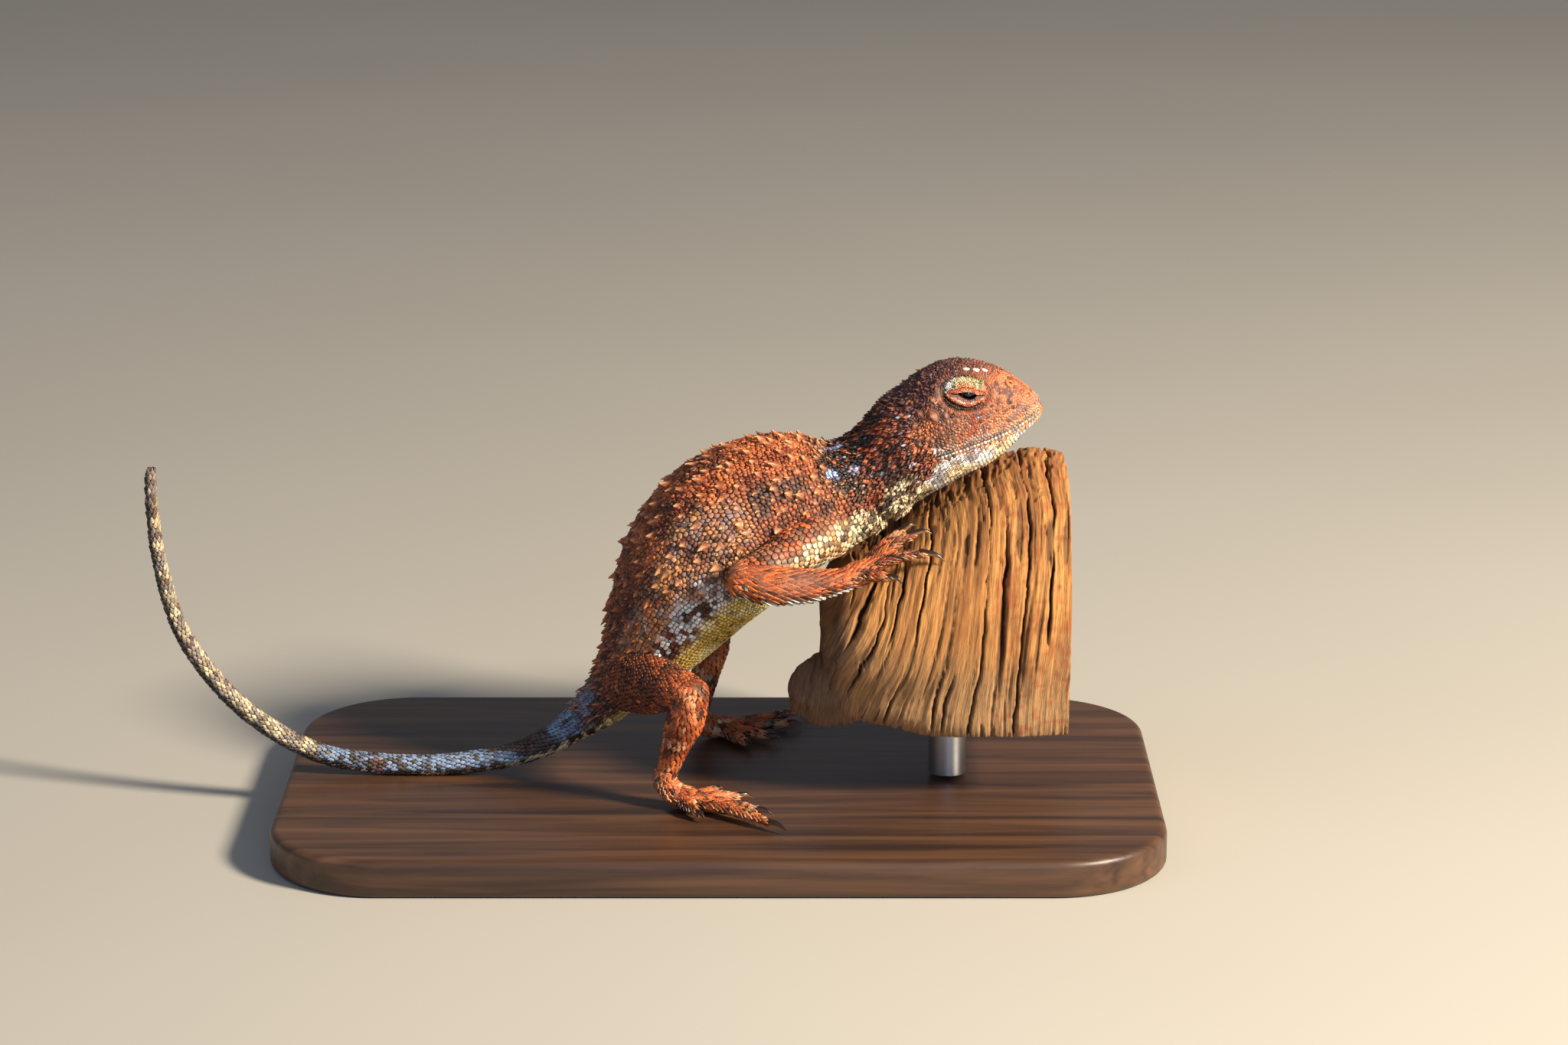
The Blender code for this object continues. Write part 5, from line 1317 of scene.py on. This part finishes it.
lid_grains = []
for label, sign in (("right", -1.0), ("left", 1.0)):
    front, up, out = eye_axes(sign)
    base = head_point(EYE_MIDDLE[0], EYE_MIDDLE[1], 0.0)
    share = np.linspace(0, 1, LID_RINGS)[:, None]
    around = circle(LID_SIDES)[None, :]
    above = np.sin(around) > 0
    sine = np.abs(np.sin(around))
    slit_x = SLIT * np.cos(around)
    open_up = np.clip(1 - ((slit_x + 0.10) / 0.98) ** 2, 0, 1) ** 0.7
    open_down = np.clip(1 - ((slit_x - 0.18) / np.where(slit_x < 0.18, 1.2, 0.78)) ** 2, 0, 1) ** 1.1
    slit_y = np.where(above, 0.025 * sine + 0.22 * open_up, -0.025 * sine - 0.40 * open_down)
    oval_x, oval_y = oval_place(around)
    x = slit_x + (oval_x - slit_x) * share
    y = slit_y + (oval_y - slit_y) * share
    z = skin_side(x, y) - 0.14 + LID_BULGE * lid_dome(x, y)
    fold = np.where(above, 0.13 * bell(share - 0.17, 0.08) - 0.15 * bell(share - 0.29, 0.045)
                    + 0.07 * bell(share - 0.6, 0.2) - 0.12 * bell(share - 0.97, 0.03),
                    0.13 * bell(share - 0.36, 0.11) - 0.06 * bell(share - 0.12, 0.07)
                    - 0.22 * bell(share - 0.62, 0.09) - 0.10 * bell(share - 0.92, 0.06))
    blend = step(0.0, 0.5, sine)
    z = z + fold * (0.3 + 0.7 * blend) - 0.26 * bell(share - 0.0, 0.03) - 0.18 * step(0.97, 1.0, share)
    grains = noise(np.stack([x, y, z], -1), 0.17, 41) - 0.5
    wrinkles = noise(np.stack([x * 0.35, y, z], -1), 0.16, 45) - 0.5
    z = z + (0.13 * grains + 0.08 * wrinkles) * step(0.02, 0.10, share) * (1 - step(0.95, 1.0, share))
    surface = base + x[..., None] * front + y[..., None] * up + z[..., None] * out
    back_share = np.linspace(1, 0, 8)[:, None]
    x2 = slit_x * 0.96 + (oval_x - slit_x) * back_share
    y2 = slit_y + (oval_y - slit_y) * back_share
    z2 = skin_side(x2, y2) - 0.75 + 0.95 * LID_BULGE * lid_dome(x2, y2)
    under = base + x2[..., None] * front + y2[..., None] * up + z2[..., None] * out
    rings = np.concatenate([surface, under])
    faces = grid_faces(len(rings), LID_SIDES)
    last = (len(rings) - 1) * LID_SIDES
    columns = np.arange(LID_SIDES)
    after = (columns + 1) % LID_SIDES
    faces = faces.tolist() + np.column_stack([last + columns, last + after, after, columns]).tolist()
    lids = mesh_from(label + "_lids", rings.reshape(-1, 3), faces)
    places = np.stack([x, y, z], -1)
    speck, dots, patch = noise(places, 0.22, 42), noise(places, 0.11, 44), noise(places, 0.8, 43)
    whole = share + 0 * x
    flesh_tone = mix("#a8482a", "#d8885a", step(0.3, 0.7, speck))
    pale = mix("#c98a5c", "#bdb78e", step(0.42, 0.80, whole + 0.35 * (patch - 0.5)))
    pale = mix(pale, "#3d4c52", step(0.55, 0.63, 0.5 * speck + 0.5 * dots) * (0.7 + 0.3 * step(-0.4, -1.4, x)))
    pale = mix(pale, "#b5683c", 0.7 * step(0.56, 0.64, noise(places, 0.3, 46)) * (1 - step(0.6, 0.8, whole)))
    rear = step(-1.25, -1.9, x) * step(0.2, 0.5, whole)
    pale = mix(pale, mix("#dfe4e6", "#38505c", step(0.42, 0.58, speck)), 0.85 * rear)
    pale = mix(pale, "#a89a4a", 0.7 * step(0.80, 0.90, whole) * step(-0.6, 0.4, x))
    edge_line = bell(whole - 0.06, 0.045) * (1 - step(0.9, 1.5, np.abs(x - 0.2)))
    upper = mix(flesh_tone, "#c9c3ae", 0.85 * edge_line)
    # A dark line in the fold over the upper rim: painted shade.
    upper = mix(upper, "#3c1a10", 0.6 * bell(whole - 0.285, 0.03))
    upper = mix(upper, pale, step(0.30, 0.40, whole))
    # Darker where the lid meets the skin: painted shade in the crease.
    upper = mix(upper, "#3a2418", 0.8 * step(0.95, 0.99, whole))
    line = bell(whole - 0.27, 0.055) * step(0.35, 0.55, dots + 0.3 * (speck - 0.5))
    lower = mix(mix("#8a5546", "#5a4a48", step(0.4, 0.6, speck)), flesh_tone, step(0.16, 0.26, whole))
    lower = mix(lower, "#cdd2cf", 0.8 * line)
    # The dark band below the lower lid: painted shade in the crease.
    hollow = mix("#4a2514", "#140d0a", bell(whole - 0.66, 0.14))
    hollow = mix(hollow, "#9a5a38", 0.8 * bell(whole - 0.84, 0.05) * step(0.35, 0.55, speck))
    lower = mix(lower, hollow, step(0.46, 0.56, whole + 0.10 * (patch - 0.5)))
    lower = mix(lower, "#6f8486", 0.4 * step(0.66, 0.72, dots) * step(0.85, 0.95, whole))
    tint = mix(lower, upper, step(-0.10, 0.10, np.sin(around) + 0 * x))
    ahead = step(1.25, 1.75, x)
    tint = mix(tint, mix(flesh_tone, "#2c1812", step(0.60, 0.68, dots)), 0.8 * ahead * step(0.1, 0.3, whole))
    # Black at the slit's edge, dark round the outer crease and black underneath: painted shade.
    tint = mix(tint, BLACK, 0.95 * (1 - step(0.0, 0.035, whole)))
    tint = mix(tint, "#3a2016", 0.8 * step(0.96, 0.99, whole))
    inner = np.broadcast_to(BLACK, under.shape)
    add_tint(lids, np.concatenate([tint, inner]).reshape(-1, 3))
    dress(lids, scale_stuff, "skin")
    normals = unit(np.cross(np.gradient(surface, axis=0), np.gradient(surface, axis=1)))
    normals *= np.sign(np.sum(normals * out, -1, keepdims=True))
    seats = np.flatnonzero(((whole > 0.10) & (whole < 0.95) & (rng.random(whole.shape) < 0.5)).ravel())
    spots, facing, colour = (values.reshape(-1, 3)[seats] for values in (surface, normals, tint))
    count = len(seats)
    room = 0.055 + 0.03 * rng.random(count) + 0.02 * step(0.3, 0.5, whole.ravel()[seats])
    lid_uv = np.column_stack([0.25 + 0.5 * (sign > 0) + 0.05 * x.ravel()[seats], 0.5 + 0.1 * y.ravel()[seats]])
    grains_here = {"place": spots - 0.01 * facing, "normal": facing, "way": np.broadcast_to(-front, spots.shape).copy(),
                   "size": np.column_stack([room * 2, room * 2, 0.05 + 0.3 * room]), "tint": vary(colour, 0.25),
                   "uv": lid_uv, "room": room, "point": 0 * room, "keel": 0 * room, "tilt": 0 * room}
    grains_here = keep(grains_here, thin_out(spots, room, np.ones(count)))
    grains_here["core"], grains_here["edge"] = grains_here["tint"] * 1.05, grains_here["tint"] * 0.8
    # Gaps between grains a quarter of the tint: painted shade.
    grains_here["gap"] = grains_here["tint"] * 0.25
    lid_grains.append(grains_here)
scale_mesh("coat_lids", merge(lid_grains), cells=(0.02, 0.1))

# Claws
# Real ones are curved and flattened from side to side, of dark horn above and amber below, sharp at the point.
claw_stuff = dyed_material("claw horn, polished", 0.2, None, (0.2, 0.00003), 0.28, Detail=2.0)
claw_shells = []
for root, tip in claw_paths:
    middle = (root + tip) / 2 + (0, 0, 0.3)
    rows = np.column_stack([np.array([root - (tip - root) * 0.22, middle, tip]), (0.36, 0.25, 0.05)])
    rings = tube(rows, 12, 14, caps=3)
    height = unit(rings - rings.mean(1, keepdims=True))[..., 2]
    claw_shells.append((rings, mix("#9a6a40", "#231713", step(-0.5, 0.35, height))))
dress(solid_from("claws", claw_shells), claw_stuff, "skin")

# Cut perch
# The real wood is a weathered, sand-worn stump with flowing grain, open cracks and a dark knot low on the left. The
# cracks are painted black and the left end darker as painted shade; the knot's darkness is partly its own, partly
# painted shade.
# Here a short length of it is kept, sawn clean on the right and below.
PERCH_ROWS = np.array((
    (10.3, 19.5, 3.0, 5.0), (10.9, 19.7, 6.0, 9.0), (12.4, 20.0, 7.9, 12.0), (15.0, 20.3, 8.7, 13.8),
    (18.0, 20.8, 9.9, 14.6), (22.0, 21.6, 12.4, 14.9), (28.0, 22.6, 14.7, 14.5), (32.5, 23.0, 15.7, 14.0),
    (36.0, 23.0, 15.3, 13.6)))
PERCH_LOBES = ((3, 0.035, 0.4), (5, 0.03, 1.9), (8, 0.022, 0.7))
PERCH_KNOB = ((11.4, -6.6, 15.4), (4.4, 3.8, 3.9))
PERCH_BOTTOM, PERCH_CUT, PERCH_POWER, WOOD_MAP = 12.0, 36.0, 0.72, 50
CRACKS = (0.2, 2.9, 4.6, 6.6, 8.9, 10.5, 12.6, 14.2, 17.2, 19.1, 21.8, 23.0, 25.9, 28.4, 30.6, 33.2)


def grain_place(points):
    """Across-grain coordinate of places in the wood: fibres rise steeply and sweep right as they go up, more on
    the left than on the right."""
    sweep = 8.0 * np.clip((31 - points[..., 0]) / 15, 0.12, 1.0) * step(12, 37, points[..., 2])
    wave = 1.6 * (noise(points * (1, 1, 0.5), 7.0, 51) - 0.5) + 0.3 * (noise(points * (1, 1, 0.3), 2.2, 50) - 0.5)
    return points[..., 0] - sweep + wave


def fibre_noise(across, points, deep, tall, size, seed):
    """Noise along the grain, with its depth and height squeezed so that it is drawn out that way."""
    return noise(np.stack([across, points[..., 1] * deep, points[..., 2] * tall], -1), size, seed)


def wood_relief(points):
    """How far weathering lifts or eats the wood: fibres 0.25 mm wide, hollows between them, and open cracks.
    Gives the lift and how deep in a crack a place is, from 0 to 1."""
    across = grain_place(points)
    lift = 0.22 * (fibre_noise(across, points, 0.14, 0.05, 0.26, 52) - 0.5)
    lift += 0.20 * (fibre_noise(across, points, 0.14, 0.05, 0.55, 53) - 0.5)
    lift += 0.4 * (fibre_noise(across, points, 0.3, 0.08, 3.4, 54) - 0.5)
    eaten = step(0.74, 0.79, fibre_noise(across, points, 0.5, 0.6, 0.9, 66))
    lift -= 0.22 * eaten * step(27, 32, points[..., 2])
    lift += 0.06 * (noise(points, 0.4, 62) - 0.5)
    wander = 0.5 * (noise(points, 1.5, 55) - 0.5) + 0.14 * (noise(points, 0.4, 63) - 0.5)
    crack = np.zeros(across.shape)
    for number, line in enumerate(CRACKS):
        open_part = step(0.36, 0.62, noise(points * (0, 0.3, 1) + (number * 9.0, 0, 0), 6.0, 56))
        width = 0.06 + (0.17 if number % 4 == 1 else 0.06) * open_part
        crack = np.maximum(crack, bell(across - line + wander, width) * open_part)
    thin = step(0.74, 0.80, fibre_noise(across, points, 0.1, 0.025, 0.34, 64))
    return lift - 1.3 * crack - 0.16 * thin, np.maximum(crack, 0.5 * thin)


def clear_of_skin(points, gap):
    """Moves places that lie in or within a gap of the animal's skin out of it."""
    moved = points.reshape(-1, 3).copy()
    low, high = skin_points.min(0), skin_points.max(0)
    close = np.flatnonzero(np.all((moved > (low - 1)) & (moved < (high + 1)), axis=1) & (moved[:, 2] > 24))
    for index in close:
        spot, normal, _, distance = skin_tree.find_nearest(Vector(moved[index]), 6.0)
        if spot is None:
            continue
        offset = (Vector(moved[index]) - spot).dot(normal)
        if offset < gap and (offset < 0 or distance < gap):
            moved[index] = np.array(spot + normal * gap)
    return moved.reshape(points.shape)


at = np.concatenate([np.linspace(0, 2.0, 46), np.linspace(2.0, len(PERCH_ROWS) - 1, 226)[1:]])
turn = circle(290)[None, :]
x, middle, high, wide = (column[:, None] for column in smooth_rows(PERCH_ROWS, at).T)
lobes = 1 + sum(depth * np.sin(count * turn + phase) for count, depth, phase in PERCH_LOBES)
rise, side = signed_power(np.cos(turn), PERCH_POWER), signed_power(np.sin(turn), PERCH_POWER)
rings = np.stack([x + 0 * turn, wide * side * lobes, middle + high * rise], -1)
out = unit(rings - np.stack([x, 0 * x, middle], -1))
lift, crack = wood_relief(rings)
rings = rings + out * lift[..., None]
rings[..., 0] += (1 - step(11.5, 17, rings[..., 0])) * 1.2 * (noise(rings * (0, 0.4, 1), 1.8, 67) - 0.35)
rings[..., 2] = np.maximum(rings[..., 2], PERCH_BOTTOM)
rings[..., 0] = np.minimum(rings[..., 0], PERCH_CUT)
rings = clear_of_skin(rings, 0.12)


def wood_tint(points, crack):
    """Weathered colours: orange-tan above, grey-tan below, dark streaks to the left, and painted shade: the left end
    darker and the cracks black.
    """
    across = grain_place(points)
    fibre, wide = fibre_noise(across, points, 0, 0.04, 0.20, 57), fibre_noise(across, points, 0, 0.12, 1.3, 65)
    broad = noise(points, 5.0, 58)
    tint = mix("#8a5526", "#bd8446", step(0.3, 0.7, 0.6 * fibre + 0.4 * wide))
    tint = mix(tint, "#a8845c", 0.7 * (1 - step(15, 26, points[..., 2] + 6 * (broad - 0.5))))
    rusty = step(0.60, 0.70, noise(points * (1, 1, 1.6), 0.7, 59)) * step(26, 30, points[..., 0])
    tint = mix(tint, "#9a4a22", 0.5 * rusty)
    dark = fibre_noise(across, points, 0, 0.25, 0.8, 60)
    left = 1 - step(10.5, 15.5, points[..., 0])
    tint = mix(tint, "#3d2c22", (0.12 + 0.8 * left) * step(0.56, 0.68, dark))
    # The whole left end darker grey-brown: painted shade on the wood's left face.
    tint = mix(tint, "#4d3c31", 0.65 * left)
    # Cracks nearly black: painted shade in them.
    return mix(tint, "#1a0f0a", np.clip(crack * 1.3, 0, 1) * 0.92)


shares = np.linspace(0.995, 0.05, 10)[:, None, None]
heart = rings[-1].mean(0)
sawn = heart + (rings[-1] - heart) * shares
sawn[..., 0] = rings[-1, :, 0].max()
fresh = linear("#bd8f58") * (0.8 + 0.4 * noise(sawn * (1, 1, 0.2), 1.2, 68))[..., None]
perch_shells = [(np.concatenate([rings, sawn]), np.concatenate([wood_tint(rings, crack), fresh]))]
sawn_from, sawn_to = rings[..., 0].size, rings[..., 0].size + sawn[..., 0].size
polar = np.linspace(0.03, np.pi - 0.03, 90)[:, None]
around = circle(150)[None, :]
centre, halves = (np.array(values) for values in PERCH_KNOB)
ball = np.stack([np.sin(polar) * np.cos(around), np.sin(polar) * np.sin(around), np.cos(polar) + 0 * around], -1)
knob = centre + ball * halves
knob_lift, knob_crack = wood_relief(knob + (2, 0, 0))
knob = knob + ball * (knob_lift * 0.8 + 0.5 * (noise(knob, 1.6, 61) - 0.5))[..., None]
knob[..., 2] = np.maximum(knob[..., 2], PERCH_BOTTOM + 0.01)
# The knot half-way to a dark brown: partly its own dark wood, partly painted shade.
perch_shells.append((knob, mix(wood_tint(knob, knob_crack), "#6a4a34", 0.5)))
perch = solid_from("perch_wood", perch_shells)
spots = np.vstack([closed_roll(rings)[0] for rings, tints in perch_shells])
grain = np.column_stack([grain_place(spots), spots[:, 2] + 0.2 * spots[:, 1]]) / WOOD_MAP
grain[sawn_from:sawn_to, 0] = spots[sawn_from:sawn_to, 1] / WOOD_MAP
corners = np.empty(len(perch.data.loops), np.int32)
perch.data.loops.foreach_get("vertex_index", corners)
layer = perch.data.uv_layers.new(name="grain")
layer.data.foreach_set("uv", grain[corners].astype(np.float32).ravel())
# Sun-bleached hardwood: matt and fibrous, fibres some 0.1 mm wide with dark pores between them
wood_stuff = dyed_material("weathered hardwood, sand-worn", 0.16, (0.34, 0.62, 0.5, 1.2), (0.8, 0.00018), 0.85,
                           flow=("grain", WOOD_MAP, (1.0, 0.07, 1.0)), Detail=5.0, Roughness=0.7)
dress(perch, wood_stuff, "wood", "stand_perch")

# Stand
# A flat oiled board with rounded corners and edges, and one short steel rod glued into it and into the wood.
def drawn_noise(tree, stretch, scale, **inputs):
    """Noise over the object's own space, drawn out by a stretch."""
    place = add(tree, "ShaderNodeTexCoord").outputs["Object"]
    place = add(tree, "ShaderNodeMapping", {"Vector": place, "Scale": stretch}).outputs["Vector"]
    return add(tree, "ShaderNodeTexNoise", {"Vector": place, "Scale": scale, **inputs}).outputs["Fac"]


def two_tones(tree, value, low, dark, high, light):
    """A colour that runs from a dark to a light code between two values."""
    ramp = add(tree, "ShaderNodeValToRGB", {"Fac": value})
    for element, position, code in zip(ramp.color_ramp.elements, (low, high), (dark, light)):
        element.position, element.color = position, (*linear(code), 1)
    return ramp.outputs["Color"]


BOARD_GRAIN, ROD_GRAIN = (0.06, 1.0, 1.0), (0.05, 0.05, 1.0)
base_stuff, tree = new_material("oiled walnut board")
colour = two_tones(tree, drawn_noise(tree, BOARD_GRAIN, 1000 / 2.2, Detail=6.0, Distortion=0.6),
                   0.32, "#2e1d14", 0.68, "#5d3f2a")
pores = drawn_noise(tree, BOARD_GRAIN, 1000 / 0.35, Detail=2.0)
bump = add(tree, "ShaderNodeBump", {"Height": pores, "Strength": 0.25, "Distance": 0.00008})
finish_material(tree, colour, 0.42, bump.outputs["Normal"])
rod_stuff, tree = new_material("brushed stainless steel")
lines = drawn_noise(tree, ROD_GRAIN, 1000 / 0.12, Detail=3.0)
brushed = add(tree, "ShaderNodeMapRange", {"Value": lines, "To Min": 0.26, "To Max": 0.5})
bump = add(tree, "ShaderNodeBump", {"Height": lines, "Strength": 0.15, "Distance": 0.00003})
finish_material(tree, (*linear("#b9bbbd"), 1), brushed.outputs["Result"], bump.outputs["Normal"], Metallic=1.0)
BOARD_SIZE, BOARD_CORNER, BOARD_EDGE = (92.0, 56.0, 4.0), 12.0, 0.8
ROD_PLACE, SHARP = 24, math.radians(30)
turn = (np.arange(192) + 0.5) * 2 * np.pi / 192
bend = np.radians((0, 15, 30, 45, 60, 75, 90))
insets = BOARD_EDGE * (1 - np.sin(bend))
levels = BOARD_EDGE * (1 - np.cos(bend))
insets = np.concatenate([[6.0, 1.0], insets, insets[::-1], [1.0, 6.0]])
levels = np.concatenate([[0, 0], levels, BOARD_SIZE[2] - levels[::-1], [BOARD_SIZE[2]] * 2])
rings = np.stack([
    np.sign(np.cos(turn)) * (BOARD_SIZE[0] / 2 - BOARD_CORNER) + (BOARD_CORNER - insets[:, None]) * np.cos(turn),
    np.sign(np.sin(turn)) * (BOARD_SIZE[1] / 2 - BOARD_CORNER) + (BOARD_CORNER - insets[:, None]) * np.sin(turn),
    levels[:, None] + 0 * turn], -1)
turn = circle(96)
level, radius = np.array(((4.3, 1.9), (4.4, 2.0), (11.6, 2.0), (11.7, 1.9))).T[..., None]
rod_rings = np.stack([ROD_PLACE + radius * np.cos(turn), radius * np.sin(turn), level + 0 * turn], -1)
for name, rolled, stuff, slot, node in (("board", rings, base_stuff, "base_wood", "stand_base"),
                                        ("rod", rod_rings, rod_stuff, "rod_steel", "stand_rod")):
    piece = mesh_from(name, *closed_roll(rolled))
    piece.data.set_sharp_from_angle(angle=SHARP)
    dress(piece, stuff, slot, node)

# Floor and light
# A plain pale studio floor, one warm lamp on the right like the low sun, a cool faint fill, and a small blue lamp
# in front that puts the glint of the sky in the eye.
floor_stuff, tree = new_material("pale matt studio floor")
colour = two_tones(tree, drawn_noise(tree, (1, 1, 1), 9.0, Detail=2.0), 0, "#a9a49b", 1, "#b2ada4")
finish_material(tree, colour, 0.9)
floor = mesh_from("floor", [(-2500, -1500, 0), (2500, -1500, 0), (2500, 2500, 0), (-2500, 2500, 0)], [(0, 1, 2, 3)])
floor.data.materials.append(floor_stuff)

TARGET = np.array((6.72, 0.0, 31.63))


def lamp(name, azimuth, elevation, distance, size, power, colour):
    """A square lamp that looks at the animal from an azimuth to the right of the camera."""
    turn, rise = math.radians(azimuth), math.radians(elevation)
    way = np.array((math.sin(turn) * math.cos(rise), -math.cos(turn) * math.cos(rise), math.sin(rise)))
    light = bpy.data.lights.new(name, "AREA")
    light.size, light.energy, light.color = size, power, colour
    made = placed(name, light)
    made.location = (TARGET + way * distance) * MM
    made.rotation_euler = Vector(way).to_track_quat("Z", "Y").to_euler()


lamp("key", 56, 31, 620, 0.10, 10.6, (1.0, 0.88, 0.70))
lamp("fill", -55, 35, 700, 0.5, 0.7, (0.55, 0.70, 1.0))
lamp("front", 10, 8, 600, 0.14, 0.5, (0.40, 0.62, 1.0))
world = bpy.data.worlds.new("studio")
bpy.context.scene.world = world
world.use_nodes = True
sky = world.node_tree.nodes["Background"].inputs
sky["Color"].default_value, sky["Strength"].default_value = (0.80, 0.87, 1.0, 1), 0.22
bpy.context.scene.view_settings.view_transform = "Standard"

# Camera
# The photograph's view: level with the animal's flank from its right side, 15 degrees above the floor.
CAMERA_RISE = math.radians(15)
CAMERA_FAR = 455.11
camera = bpy.data.cameras.new("camera")
camera.lens, camera.sensor_width, camera.clip_start = 100, 36, 0.001
viewer = placed("camera", camera)
viewer.location = (TARGET + np.array((0, -math.cos(CAMERA_RISE), math.sin(CAMERA_RISE))) * CAMERA_FAR) * MM
viewer.rotation_euler = (math.pi / 2 - CAMERA_RISE, 0, 0)
bpy.context.scene.camera = viewer
